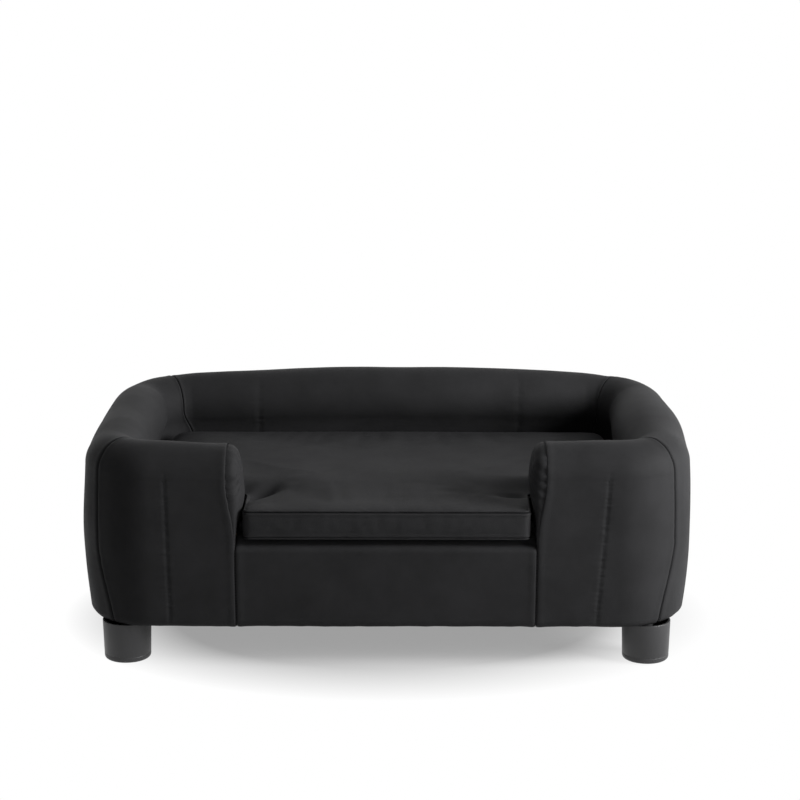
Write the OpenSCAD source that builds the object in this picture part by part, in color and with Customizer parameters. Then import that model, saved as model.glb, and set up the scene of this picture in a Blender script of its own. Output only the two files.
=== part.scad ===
// Sofa bed for a dog. A padded wall with a rolled top bends round a loose seat cushion.
// The origin is on the floor below the middle of the body, +X to the right, the entrance at -Y.

/* [Body] */
// Overall width of the body
body_width = 950; // [840:1:1200]
// Overall depth of the body
body_depth = 567; // [500:1:760]
// Height of the wall's top above the floor at the arms
wall_top = 352; // [330:1:420]
// How much higher the top is at the middle of the back
back_rise = 17.6; // [0:0.2:40]
// Corner radius at the front, seen from above
front_corner = 117; // [110:1:150]
// Corner radius at the back, seen from above
rear_corner = 140; // [125:1:180]

/* [Wall] */
// Radius of the rolled top
roll_radius = 48.2; // [42:0.1:54]
// How far the roll's outer side lies inside the widest line
roll_inset = 3.4; // [0:0.1:8]
// Height of the widest line above the floor
widest_height = 202; // [150:1:240]
// How far the bottom edge lies inside the widest line
bottom_inset = 7.8; // [2:0.1:9]
// Radius of the rounded bottom edge
bottom_edge = 14; // [8:0.5:16]
// Distance from the widest line to the wall's inner face below the roll
inner_face = 82; // [74:0.5:88]
// Thickness of the cover cloth
cover_cloth = 1.2; // [0.8:0.1:2]
// Width of the hem that is turned under the body
hem_width = 14; // [10:1:16]

/* [Arm ends] */
// Width of the entrance between the lower ends of the arm seams
entrance = 460; // [380:1:500]
// How far an arm's end seam leans back on its way up
seam_lean = 12; // [0:0.5:16]
// Height over which the seam leans
lean_height = 95; // [60:1:120]
// Swell of the padded arm end at its foot
end_swell_low = 8; // [4:0.5:12]
// Swell of the padded arm end at the roll
end_swell_high = 23; // [12:0.5:24]
// Height over which the swell grows
swell_height = 70; // [50:1:100]
// Depth of the pad behind the arm end's seam
pad_depth = 13.7; // [13.5:0.1:20]

/* [Frame] */
// Thickness of the wall boards
panel_thickness = 10; // [8:0.5:12]
// Foam between the wall boards and the bottom edge's curve
foam_edge = 1.2; // [1:0.1:4]
// Foam above the wall boards
top_padding = 52; // [40:1:60]
// Thickness of the base board
base_thickness = 12; // [10:0.5:18]
// Height of the deck board's top above the floor
deck_top = 206.2; // [190:0.1:215]
// Thickness of the deck board
deck_thickness = 9; // [8:0.5:12]
// Width of the rails under the deck
rail_width = 20; // [18:1:26]
// Height of the rails under the deck
rail_height = 32; // [30:1:45]
// Side of the square posts
post_side = 30; // [22:1:32]
// Distance from the corner's outer line to the middle of a post
post_inset = 60; // [58:1:64]
// Thickness of the bearer under the middle of the deck
bearer_thickness = 15; // [12:1:30]
// Radius of a wood screw
screw_radius = 2; // [1.5:0.1:2.5]
// Radius of a screw's head
screw_head = 4; // [3.5:0.1:5]
// Length of a screw
screw_length = 30; // [24:1:36]
// Distance from the middle to the screws in the front and rear rails
rail_screw_x = 220; // [60:1:260]
// Distance from the middle to the screws in the side rails
side_screw_y = 90; // [20:1:110]

/* [Legs] */
// Height of the top of a leg above the floor
leg_height = 64; // [50:1:75]
// Radius at the top of a leg
leg_top_radius = 37.8; // [30:0.1:42]
// Radius at the foot of a leg
leg_foot_radius = 36.2; // [32:0.1:40]
// Rounding of a leg's bottom edge
leg_edge = 5; // [2:0.5:6]
// Wall thickness of a leg
leg_wall = 4; // [3:0.5:6]
// Thickness of a leg's floor
leg_floor = 7; // [5:0.5:10]
// Radius of the boss that holds the bolt
leg_boss = 11; // [9:0.5:14]
// Distance from the front corner's outer line to a front leg's middle
front_leg_inset = 43.5; // [43:0.5:52]
// Distance from the rear corner's outer line to a rear leg's middle
rear_leg_inset = 61; // [56:1:75]
// Direction of the legs from the corner's centre
leg_angle = 50.2; // [45:0.1:60]
// Radius of the glide pad under a leg
glide_radius = 28; // [20:0.5:29]
// Thickness of a glide pad
glide_thickness = 2.5; // [2:0.1:4]
// How far a glide pad stands out of the leg
glide_stand = 1; // [0.5:0.1:1.5]
// Radius of a leg bolt
bolt_radius = 4; // [3:0.5:4.5]
// How deep a leg bolt goes into its leg
bolt_depth = 40; // [20:1:42]
// Radius of a tee nut's barrel
nut_radius = 5.2; // [5:0.1:6]
// Radius of a tee nut's flange
nut_flange = 9; // [8:0.5:9.5]
// Thickness of a tee nut's flange
nut_plate = 1.2; // [1:0.1:2]
// Length of a tee nut's barrel
nut_length = 9; // [6:0.5:9.5]

/* [Upholstery] */
// Thickness of the dust cloth under the body
dust_cloth = 0.6; // [0.4:0.1:1]
// Distance from the widest line to the dust cloth's edge
dust_inset = 28; // [24:1:34]
// Rounding of the apron's top edge
apron_edge = 12; // [8:0.5:14]
// Distance from the widest line to the apron cover's rear edge
apron_reach = 46; // [38:1:60]
// Thickness of the deck cloth
deck_cloth = 1; // [0.6:0.1:1.1]

/* [Cushion] */
// Distance from the front of the body to the cushion's front
cushion_setback = 11.3; // [8:0.1:30]
// Gap between the cushion's tongue and the lower ends of the arm seams
tongue_gap = 15; // [14.5:0.5:25]
// Gap between the cushion and the roll of the side walls
side_gap = 2.5; // [2:0.1:10]
// Gap between the cushion and the roll of the back
rear_gap = 7.2; // [7:0.1:12]
// Gap between the cushion's shoulders and the roll of the arms
shoulder_gap = 2.7; // [2:0.1:10]
// Height of the cushion's boxing between its seams
boxing_height = 38.5; // [30:0.5:45]
// How much higher the top seam is at the rear
seam_rise = 6; // [0:0.5:8]
// Height of the crown above the top seam
crown = 16; // [8:0.5:20]
// How quickly the crown rises from the seam
crown_reach = 14; // [10:0.5:25]
// How far the seams are drawn in
seam_draw = 3; // [1:0.5:4]
// Drop of the bottom panel below its seam
belly = 2; // [2:0.5:4]
// Corner radius at the front of the tongue
tongue_corner = 14; // [10:1:30]
// Radius of the inner corner beside the tongue
notch_corner = 14; // [8:1:20]
// Corner radius of the cushion's shoulders
shoulder_corner = 28; // [20:1:50]
// Corner radius at the back of the cushion
back_corner = 52; // [45:1:70]

/* [Zip] */
// Distance from the ends of the zip to the sides of the cushion
zip_margin = 62.7; // [57:0.1:220]
// Width of the zip's tape
tape_width = 16; // [14:1:20]
// Thickness of the zip's tape
tape_thickness = 0.6; // [0.4:0.1:0.7]
// Width of the zip's coil
coil_width = 5; // [4:0.5:6]
// Height of the zip's coil
coil_height = 1.5; // [1.2:0.1:1.6]
// Length of the slider
slider_length = 12; // [11:0.5:16]
// Width of a side lip of the slider
slider_lip = 1.7; // [1.2:0.1:2.5]
// Thickness of the slider's plate and of the bridge over it
slider_plate = 1; // [0.8:0.1:1.1]
// Length of the bridge
bridge_length = 8; // [7:0.5:10]
// Width of the bridge
bridge_width = 2; // [1.5:0.1:2.4]
// Length of the pull from its pin
pull_length = 17; // [12:0.5:17.5]
// Width of the pull
pull_width = 6; // [5.4:0.1:8]
// Thickness of the pull and of its pin
pull_thickness = 1.2; // [1:0.1:1.3]

/* [Hidden] */

// Facets of the exact round pieces
$fn = 64;
// Steps round a corner of the wall, seen from above
corner_steps = 8;
// Step of each corner at which the covers are sewn together
front_seam_step = 4;
rear_seam_step = 5;
// Steps round the bottom edge, the roll and the apron's top edge
edge_steps = 3;
roll_steps = 14;
apron_steps = 4;
// Steps along the back and round each corner of the cushion
back_steps = 8;
cushion_steps = 4;

// Gap between layers of cloth, foam and board
cloth_gap = 0.3;
// Gap between the cushion's core and its cover, which bulge apart a little
core_gap = 0.8;
// Gap between a board and the slot in the foam round it
slot_gap = 0.8;
// Gap between two covers at a seam, and between pieces that slide
seam_gap = 0.3;
// Clearance of a screw or bolt in its hole
bolt_gap = 0.1;
// Overrun of a cut
cut = 1;
// Width of the strip left where two outlines meet
line_gap = 0.4;

// Levels above the floor
cover_bottom = leg_height + dust_cloth;
base_bottom = cover_bottom + cover_cloth;
base_top = base_bottom + base_thickness;
edge_height = cover_bottom + bottom_edge;
roll_height = wall_top - roll_radius;
panel_top = wall_top - top_padding;
deck_bottom = deck_top - deck_thickness;
deck_level = deck_top + cloth_gap;
apron_top = deck_level + cover_cloth;
cushion_rest = apron_top + cloth_gap;
bottom_seam = cushion_rest + belly;
low_seam = bottom_seam + boxing_height;
end_foot = apron_top + cloth_gap;

// Distances in from the widest line
edge_centre = bottom_inset + bottom_edge;
panel_place = edge_centre + foam_edge;
slot_outer = panel_place - slot_gap;
slot_inner = panel_place + panel_thickness + slot_gap;
board_inset = panel_place + panel_thickness + cloth_gap;
roll_centre = roll_inset + roll_radius;
roll_reach = roll_inset + 2 * roll_radius;
deck_cloth_inset = inner_face + line_gap;

// Middle of each corner, seen from above
front_x = body_width / 2 - front_corner;
front_y = -body_depth / 2 + front_corner;
rear_x = body_width / 2 - rear_corner;
rear_y = body_depth / 2 - rear_corner;
// The back's extra height fades out inside the rear corners
rise_end_share = 0.6;
rise_end = body_width / 2 - rear_corner * rise_end_share;

// Arm ends
arm_seam = entrance / 2;
pad_back = arm_seam + pad_depth;
arm_foam = pad_back + cloth_gap;
dome_shares = [0, 0.5, 0.75, 0.9, 0.97, 1];
dome_power = 4;

// Cushion outline
tongue_half = arm_seam - tongue_gap;
cushion_half = body_width / 2 - roll_reach - side_gap;
cushion_front = -body_depth / 2 + cushion_setback;
cushion_back = body_depth / 2 - roll_reach - rear_gap;
shoulder_y = -body_depth / 2 + roll_reach + shoulder_gap;
// Point that the rings of the cushion shrink to, as a share of its depth from the shoulders
heart_share = 0.33;
cushion_heart = [0, shoulder_y + (cushion_back - shoulder_y) * heart_share];
ring_shares = [1, 0.985, 0.955, 0.9, 0.8, 0.6, 0.3];
bottom_shares = [0.95, 0.985];
boxing_shares = [0, 0.15, 0.5, 0.85, 1];
// Extra points along the cushion's back, as shares of the distance between its corners
back_point_shares = [0.2, 0.4, 0.6, 0.8];

// Zip, from the cushion's boxing outward
zip_length = 2 * (cushion_half - zip_margin);
zip_height = bottom_seam + (boxing_height + seam_rise) / 2;
tape_face = cushion_back + cloth_gap + tape_thickness;
coil_face = tape_face + coil_height;
plate_face = coil_face + seam_gap + slider_plate;
pin_place = plate_face + seam_gap + pull_thickness / 2;
bridge_inside = pin_place + pull_thickness / 2 + seam_gap;
slider_start = -zip_length / 2 + slider_length;
slider_half = coil_width / 2 + seam_gap + slider_lip;
// Length of the opening under the bridge, which clears the turning pin
bridge_opening = 2 * pull_thickness + 2 * seam_gap;

// Smooth rise from 0 to 1
function ease(t) = let (c = min(max(t, 0), 1)) c * c * (3 - 2 * c);
function blend(a, b, t) = a + (b - a) * t;

// How far the wall's outer face lies inside the widest line at a height
function face_inset(z) =
    z < widest_height
    ? bottom_inset * pow((widest_height - z) / (widest_height - edge_height), 2)
    : roll_inset * pow((z - widest_height) / (roll_height - widest_height), 2);

// Heights of the points on the outer face, with one at the foot of the arm ends
low_shares = [0.36, 0.72];
high_shares = [0.33, 0.66];
low_levels = [for (t = low_shares) blend(edge_height, end_foot, t)];
high_levels = [for (t = high_shares) blend(end_foot, roll_height, t)];

function edge_arc(depth) =
    [for (k = [0 : edge_steps]) let (a = 270 - 90 * k / edge_steps)
        [edge_centre + (bottom_edge - depth) * cos(a),
         edge_height + (bottom_edge - depth) * sin(a)]];
function face_points(levels, depth) = [for (z = levels) [face_inset(z) + depth, z]];
function roll_end(depth) = -acos((inner_face - depth - roll_centre) / (roll_radius - depth));
function roll_arc(depth) =
    [for (k = [0 : roll_steps]) let (a = blend(180, roll_end(depth), k / roll_steps))
        [roll_centre + (roll_radius - depth) * cos(a),
         roll_height + (roll_radius - depth) * sin(a)]];

// Outline of the wall from its bottom edge over the roll to the deck, at a depth below the cover
function wall_line(depth) = concat(
    edge_arc(depth),
    face_points(low_levels, depth),
    face_points([end_foot], depth),
    face_points(high_levels, depth),
    roll_arc(depth),
    [[inner_face - depth, deck_level]]);
// The same with the hem in front
function cover_line(depth) = concat(
    [[edge_centre + hem_width, cover_bottom + depth]],
    wall_line(depth));
// The closed outline of an arm's end
function end_line(depth) = concat(
    [[face_inset(end_foot) + depth, end_foot + depth]],
    face_points(high_levels, depth),
    roll_arc(depth),
    [[inner_face - depth, end_foot + depth]]);
end_centre = [roll_centre - roll_inset, roll_height - roll_radius / 2];

// The slot round the wall boards, and which of its corners each point of the wall line faces
slot_line = [
    [slot_outer, base_bottom + cloth_gap],
    [slot_outer, panel_top + slot_gap],
    [slot_inner, panel_top + slot_gap],
    [slot_inner, deck_level]];
roll_first = edge_steps + 1 + len(low_levels) + 1 + len(high_levels);
roll_middle = roll_first + roll_steps / 2 - 2;
wall_last = roll_first + roll_steps + 1;
slot_links = [for (i = [0 : wall_last])
    i < roll_first ? 0 : i < roll_middle ? 1 : i < wall_last ? 2 : 3];

// Apron: up the front, over a rounded edge and back over the deck
function apron_arc(depth) =
    [for (k = [0 : apron_steps]) let (a = 180 - 90 * k / apron_steps)
        [face_inset(apron_top - apron_edge) + apron_edge + (apron_edge - depth) * cos(a),
         apron_top - apron_edge + (apron_edge - depth) * sin(a)]];
apron_levels = [for (t = low_shares) blend(edge_height, apron_top - apron_edge, t)];
function apron_line(depth) = concat(
    edge_arc(depth),
    face_points(apron_levels, depth),
    apron_arc(depth));

// A station is a place on the widest line with the direction into the wall
function front_station(x) = [x, -body_depth / 2, 0, 1];
function side_station(y) = [body_width / 2, y, -1, 0];
function back_station(x) = [x, body_depth / 2, 0, -1];
function corner_station(x, y, r, a) = [x + r * cos(a), y + r * sin(a), -cos(a), -sin(a)];
// A station in a corner by its step, moved along the wall by a length
function front_turn(step, shift = 0) =
    corner_station(front_x, front_y, front_corner,
        -90 + 90 * step / corner_steps + shift / front_corner * 180 / PI);
function rear_turn(step, shift = 0) =
    corner_station(rear_x, rear_y, rear_corner,
        90 * step / corner_steps + shift / rear_corner * 180 / PI);
function lift(s) = s[1] > rear_y ? back_rise * max(0, 1 - pow(s[0] / rise_end, 2)) : 0;
function rise_share(z) = max(0, z - base_bottom) / (wall_top - base_bottom);
function placed(s, p, raise) = [
    s[0] + s[2] * p[0],
    s[1] + s[3] * p[0],
    p[1] + raise * rise_share(p[1])];
function row(s, line, raised = true) = [for (p = line) placed(s, p, raised ? lift(s) : 0)];
// Rows of an arm's end, which lean back with height
function seam_x(z) = arm_seam + seam_lean * ease((z - end_foot) / lean_height);
function seam_row(line, gap) =
    [for (p = line) [seam_x(p[1]) + gap, -body_depth / 2 + p[0], p[1]]];

// Triangles of a grid of points, row by row
function corner_index(j, i, cols, start) = start + j * cols + i % cols;
function grid_faces(rows, cols, start, wrap, flip) = [
    for (j = [0 : rows - 2])
        for (i = [0 : wrap ? cols - 1 : cols - 2])
            let (a = corner_index(j, i, cols, start))
            let (b = corner_index(j, i + 1, cols, start))
            let (c = corner_index(j + 1, i + 1, cols, start))
            let (d = corner_index(j + 1, i, cols, start))
            each flip ? [[a, c, b], [a, d, c]] : [[a, b, c], [a, c, d]]];
function strip_faces(a, b) = [
    for (i = [0 : len(a) - 2]) each [[a[i], a[i + 1], b[i + 1]], [a[i], b[i + 1], b[i]]]];
function turned(faces, flip) = flip ? [for (f = faces) [f[0], f[2], f[1]]] : faces;
function fan_faces(ring, tip, flip) = turned(
    [for (i = [0 : len(ring) - 1]) [ring[(i + 1) % len(ring)], ring[i], tip]], flip);
// Cap between an outer line and an inner line, where link gives the inner point of each outer one
function cap_faces(outer, inner, link) = [
    for (i = [0 : len(outer) - 2]) each concat(
        [[outer[i + 1], outer[i], inner[link[i]]]],
        link[i + 1] > link[i]
            ? [[outer[i + 1], inner[link[i]], inner[link[i + 1]]]]
            : [])];

// Solid between rows of an outer line and rows of an inner line
module wall_solid(outer, inner, link) {
    rows = len(outer);
    n = len(outer[0]);
    k = len(inner[0]);
    inside = rows * n;
    outer_low = [for (j = [0 : rows - 1]) j * n];
    outer_high = [for (j = [0 : rows - 1]) j * n + n - 1];
    inner_low = [for (j = [0 : rows - 1]) inside + j * k];
    inner_high = [for (j = [0 : rows - 1]) inside + j * k + k - 1];
    first_outer = [for (i = [0 : n - 1]) i];
    last_outer = [for (i = first_outer) (rows - 1) * n + i];
    first_inner = [for (i = [0 : k - 1]) inside + i];
    last_inner = [for (i = first_inner) (rows - 1) * k + i];
    polyhedron(
        points = concat([for (r = outer) each r], [for (r = inner) each r]),
        faces = concat(
            grid_faces(rows, n, 0, false, false),
            grid_faces(rows, k, inside, false, true),
            strip_faces(outer_low, inner_low),
            turned(strip_faces(outer_high, inner_high), true),
            cap_faces(first_outer, first_inner, link),
            turned(cap_faces(last_outer, last_inner, link), true)),
        convexity = 10);
}

// Closed solid of rings with a point at each end
module ring_solid(rings, first_tip, last_tip, flip) {
    rows = len(rings);
    n = len(rings[0]);
    polyhedron(
        points = concat([for (r = rings) each r], [first_tip, last_tip]),
        faces = concat(
            grid_faces(rows, n, 0, true, flip),
            fan_faces([for (i = [0 : n - 1]) i], rows * n, flip),
            fan_faces([for (i = [0 : n - 1]) (rows - 1) * n + i], rows * n + 1, !flip)),
        convexity = 10);
}

// Cloth between two stacks of rings, closed to a tip at the first ring and open at the last
module domed_cloth(outer, inner, outer_tip, inner_tip, flip) {
    rows = len(outer);
    n = len(outer[0]);
    inside = rows * n;
    tips = 2 * inside;
    rim_outer = [for (i = [0 : n]) (rows - 1) * n + i % n];
    rim_inner = [for (i = rim_outer) inside + i];
    polyhedron(
        points = concat([for (r = outer) each r], [for (r = inner) each r], [outer_tip, inner_tip]),
        faces = concat(
            grid_faces(rows, n, 0, true, flip),
            grid_faces(rows, n, inside, true, !flip),
            fan_faces([for (i = [0 : n - 1]) i], tips, flip),
            fan_faces([for (i = [0 : n - 1]) inside + i], tips + 1, !flip),
            turned(strip_faces(rim_outer, rim_inner), flip)),
        convexity = 10);
}

// Closed band between an outer and an inner stack of rings
module band(outer, inner, flip) {
    rows = len(outer);
    n = len(outer[0]);
    inside = rows * n;
    first_rim = [for (i = [0 : n]) i % n];
    last_rim = [for (i = first_rim) (rows - 1) * n + i];
    polyhedron(
        points = concat([for (r = outer) each r], [for (r = inner) each r]),
        faces = concat(
            grid_faces(rows, n, 0, true, flip),
            grid_faces(rows, n, inside, true, !flip),
            turned(strip_faces(first_rim, [for (i = first_rim) inside + i]), !flip),
            turned(strip_faces(last_rim, [for (i = last_rim) inside + i]), flip)),
        convexity = 10);
}

module foam(stations) {
    color("ivory")
        wall_solid(
            [for (s = stations) row(s, wall_line(cover_cloth + cloth_gap))],
            [for (s = stations) row(s, slot_line, false)],
            slot_links);
}

module cover(first_rows, first_inner, stations) {
    rows_out = concat(first_rows, [for (s = stations) row(s, cover_line(0))]);
    rows_in = concat(first_inner, [for (s = stations) row(s, cover_line(cover_cloth))]);
    color("#1d1d1f")
        wall_solid(rows_out, rows_in, [for (i = [0 : len(rows_out[0]) - 1]) i]);
}

// The body's outline seen from above, at a distance in from the widest line
module plan(inset) {
    w = body_width / 2 - inset;
    d = body_depth / 2 - inset;
    polygon([
        [-front_x, -d], [front_x, -d], [w, front_y], [w, rear_y],
        [rear_x, d], [-rear_x, d], [-w, rear_y], [-w, front_y]]);
    for (side = [-1, 1]) {
        translate([side * front_x, front_y])
            circle(r = front_corner - inset);
        translate([side * rear_x, rear_y])
            circle(r = rear_corner - inset);
    }
}

// Places of the legs, by their distance in from a corner's outer line
front_leg = [
    front_x + (front_corner - front_leg_inset) * cos(leg_angle),
    front_y - (front_corner - front_leg_inset) * sin(leg_angle)];
rear_leg = [
    rear_x + (rear_corner - rear_leg_inset) * cos(leg_angle),
    rear_y + (rear_corner - rear_leg_inset) * sin(leg_angle)];
leg_places = [
    [-front_leg[0], front_leg[1]], front_leg,
    [-rear_leg[0], rear_leg[1]], rear_leg];
// Places of the posts and the screws
post_angle = 25;
front_post = [
    front_x + (front_corner - post_inset) * cos(post_angle),
    front_y - (front_corner - post_inset) * sin(post_angle)];
rear_post = [
    rear_x + (rear_corner - post_inset) * cos(post_angle),
    rear_y + (rear_corner - post_inset) * sin(post_angle)];
post_places = [
    [-front_post[0], front_post[1]], front_post,
    [-rear_post[0], rear_post[1]], rear_post];
rail_y = body_depth / 2 - board_inset - rail_width / 2;
rail_x = body_width / 2 - board_inset - rail_width / 2;
screw_places = concat(post_places, [
    for (side = [-1, 1]) each [
        [side * rail_screw_x, -rail_y], [side * rail_screw_x, rail_y],
        [side * rail_x, -side_screw_y], [side * rail_x, side_screw_y]]]);

// Turned plastic cup with a rounded foot, a boss for its bolt and a recess for its glide
module leg(place) {
    foot = glide_stand;
    turn = [for (k = [0 : edge_steps]) let (a = -90 + 90 * k / edge_steps)
        [leg_foot_radius - leg_edge + leg_edge * cos(a), foot + leg_edge + leg_edge * sin(a)]];
    color("#2c2c2e")
        translate([place[0], place[1], 0])
            rotate_extrude()
                polygon(concat(
                    [[0, glide_thickness], [glide_radius + bolt_gap, glide_thickness],
                     [glide_radius + bolt_gap, foot]],
                    turn,
                    [[leg_top_radius, leg_height], [leg_top_radius - leg_wall, leg_height],
                     [leg_foot_radius - leg_wall, foot + leg_floor],
                     [leg_boss, foot + leg_floor], [leg_boss, leg_height],
                     [bolt_radius + bolt_gap, leg_height],
                     [bolt_radius + bolt_gap, leg_height - bolt_depth - cut],
                     [0, leg_height - bolt_depth - cut]]));
}
module leg_front_left() { leg(leg_places[0]); }
module leg_front_right() { leg(leg_places[1]); }
module leg_rear_left() { leg(leg_places[2]); }
module leg_rear_right() { leg(leg_places[3]); }

module leg_glides() {
    color("dimgray")
        for (p = leg_places)
            translate([p[0], p[1], 0])
                cylinder(r = glide_radius, h = glide_thickness);
}

module leg_bolts() {
    color("silver")
        for (p = leg_places)
            translate([p[0], p[1], leg_height - bolt_depth])
                cylinder(r = bolt_radius, h = bolt_depth + base_top + nut_plate - leg_height);
}

module tee_nuts() {
    color("silver")
        for (p = leg_places)
            translate([p[0], p[1], base_top])
                difference() {
                    union() {
                        cylinder(r = nut_flange, h = nut_plate);
                        translate([0, 0, -nut_length])
                            cylinder(r = nut_radius, h = nut_length);
                    }
                    translate([0, 0, -nut_length - cut])
                        cylinder(r = bolt_radius + bolt_gap, h = nut_length + nut_plate + 2 * cut);
                }
}

module base_board() {
    color("burlywood")
        difference() {
            translate([0, 0, base_bottom])
                linear_extrude(base_thickness)
                    plan(board_inset);
            for (p = leg_places)
                translate([p[0], p[1], base_bottom - cut])
                    cylinder(r = nut_radius + bolt_gap, h = base_thickness + 2 * cut);
        }
}

// One board across the front, cut down to the deck at the entrance
module front_panel() {
    color("burlywood")
        translate([0, -body_depth / 2 + panel_place + panel_thickness, 0])
            rotate([90, 0, 0])
                linear_extrude(panel_thickness)
                    polygon([
                        [-front_x, base_bottom], [front_x, base_bottom], [front_x, panel_top],
                        [arm_foam, panel_top], [arm_foam, deck_top], [-arm_foam, deck_top],
                        [-arm_foam, panel_top], [-front_x, panel_top]]);
}
module back_panel() {
    color("burlywood")
        translate([-rear_x, body_depth / 2 - panel_place - panel_thickness, base_bottom])
            cube([2 * rear_x, panel_thickness, panel_top - base_bottom]);
}
module side_panel_right() {
    color("burlywood")
        translate([body_width / 2 - panel_place - panel_thickness, front_y, base_bottom])
            cube([panel_thickness, rear_y - front_y, panel_top - base_bottom]);
}
module side_panel_left() {
    mirror([1, 0, 0])
        side_panel_right();
}

// Board bent through a quarter turn
module bent_panel(x, y, radius, start) {
    color("tan")
        translate([x, y, base_bottom])
            rotate([0, 0, start])
                rotate_extrude(angle = 90)
                    translate([radius - panel_place - panel_thickness, 0])
                        square([panel_thickness, panel_top - base_bottom]);
}
module corner_panel_front_right() { bent_panel(front_x, front_y, front_corner, -90); }
module corner_panel_front_left() { bent_panel(-front_x, front_y, front_corner, 180); }
module corner_panel_rear_right() { bent_panel(rear_x, rear_y, rear_corner, 0); }
module corner_panel_rear_left() { bent_panel(-rear_x, rear_y, rear_corner, 90); }

module pilot_holes(places) {
    for (p = places)
        translate([p[0], p[1], deck_top - screw_length - cut])
            cylinder(r = screw_radius + bolt_gap, h = screw_length + 2 * cut);
}

module corner_posts() {
    color("wheat")
        difference() {
            for (p = post_places)
                translate([p[0] - post_side / 2, p[1] - post_side / 2, base_top])
                    cube([post_side, post_side, deck_bottom - base_top]);
            pilot_holes(post_places);
        }
}

module cross_rail(y, reach) {
    color("wheat")
        difference() {
            translate([-reach, y - rail_width / 2, deck_bottom - rail_height])
                cube([2 * reach, rail_width, rail_height]);
            pilot_holes([[-rail_screw_x, y], [rail_screw_x, y]]);
        }
}
module deck_rail_front() { cross_rail(-rail_y, front_x); }
module deck_rail_rear() { cross_rail(rail_y, rear_x); }
module deck_rails_side() {
    color("wheat")
        for (side = [-1, 1])
            difference() {
                translate([side * rail_x - rail_width / 2, front_y, deck_bottom - rail_height])
                    cube([rail_width, rear_y - front_y, rail_height]);
                pilot_holes([[side * rail_x, -side_screw_y], [side * rail_x, side_screw_y]]);
            }
}
// Board on edge between the rails, from the base to the deck
module centre_bearer() {
    reach = rail_y - rail_width / 2;
    color("wheat")
        translate([-bearer_thickness / 2, -reach, base_top])
            cube([bearer_thickness, 2 * reach, deck_bottom - base_top]);
}

module deck_board() {
    color("burlywood")
        difference() {
            translate([0, 0, deck_bottom])
                linear_extrude(deck_thickness)
                    plan(board_inset);
            pilot_holes(screw_places);
            for (p = screw_places)
                translate([p[0], p[1], deck_top - screw_head + screw_radius])
                    cylinder(r1 = screw_radius + bolt_gap, r2 = screw_head + bolt_gap,
                        h = screw_head - screw_radius);
        }
}
module deck_screws() {
    color("silver")
        for (p = screw_places)
            translate([p[0], p[1], deck_top - screw_length]) {
                cylinder(r = screw_radius, h = screw_length - (screw_head - screw_radius));
                translate([0, 0, screw_length - (screw_head - screw_radius)])
                    cylinder(r1 = screw_radius, r2 = screw_head, h = screw_head - screw_radius);
            }
}

front_turns = [for (k = [0 : corner_steps]) front_turn(k)];
rear_turns = [for (k = [0 : corner_steps]) rear_turn(k)];

module foam_back() {
    foam([for (k = [0 : back_steps])
        back_station(blend(rear_x - cloth_gap, -rear_x + cloth_gap, k / back_steps))]);
}
module foam_side_right() {
    foam([side_station(front_y + cloth_gap), side_station(rear_y - cloth_gap)]);
}
module foam_side_left() {
    mirror([1, 0, 0])
        foam_side_right();
}
module foam_front_right() {
    foam([front_station(arm_foam), front_station(front_x - cloth_gap)]);
}
module foam_front_left() {
    mirror([1, 0, 0])
        foam_front_right();
}
module foam_corner_front_right() { foam(front_turns); }
module foam_corner_front_left() {
    mirror([1, 0, 0])
        foam_corner_front_right();
}
module foam_corner_rear_right() { foam(rear_turns); }
module foam_corner_rear_left() {
    mirror([1, 0, 0])
        foam_corner_rear_right();
}
// Pad in front of the front board under the entrance
module foam_apron() {
    line = [for (p = apron_line(cover_cloth + cloth_gap)) [min(p[0], slot_outer - line_gap), p[1]]];
    back = [[slot_outer, base_bottom + cloth_gap], [slot_outer, apron_top - cover_cloth - cloth_gap]];
    ends = [front_station(-pad_back), front_station(pad_back)];
    last = len(line) - 1;
    color("ivory")
        wall_solid(
            [for (s = ends) row(s, line)],
            [for (s = ends) row(s, back)],
            [for (i = [0 : last]) i < last - apron_steps ? 0 : 1]);
}

// Dome of an arm's end: rings shrink to its middle and swell toward the entrance
function swell(z) = blend(end_swell_low, end_swell_high, ease((z - end_foot) / swell_height));
function dome_height(share) = sqrt(1 - pow(share, dome_power));
function dome_point(p, share, depth) =
    let (q = end_centre + (p - end_centre) * share)
    [seam_x(q[1]) - (swell(q[1]) - depth) * dome_height(share) - seam_gap / 2,
     -body_depth / 2 + q[0],
     q[1]];
function dome_ring(share, depth) = [for (p = end_line(depth)) dome_point(p, share, depth)];
ring_steps = [for (i = [1 : len(dome_shares) - 1]) dome_shares[i]];

module arm_end_pad_right() {
    depth = cover_cloth + cloth_gap;
    back = [for (p = end_line(depth)) [pad_back, -body_depth / 2 + p[0], p[1]]];
    color("ivory")
        ring_solid(
            concat([for (s = ring_steps) dome_ring(s, depth)], [back]),
            dome_point(end_centre, 0, depth),
            [pad_back, -body_depth / 2 + end_centre[0], end_centre[1]],
            false);
}
module arm_end_pad_left() {
    mirror([1, 0, 0])
        arm_end_pad_right();
}
module arm_end_cover_right() {
    color("#1d1d1f")
        domed_cloth(
            [for (s = ring_steps) dome_ring(s, 0)],
            [for (s = ring_steps) dome_ring(s, cover_cloth)],
            dome_point(end_centre, 0, 0),
            dome_point(end_centre, 0, cover_cloth),
            false);
}
module arm_end_cover_left() {
    mirror([1, 0, 0])
        arm_end_cover_right();
}

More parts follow.
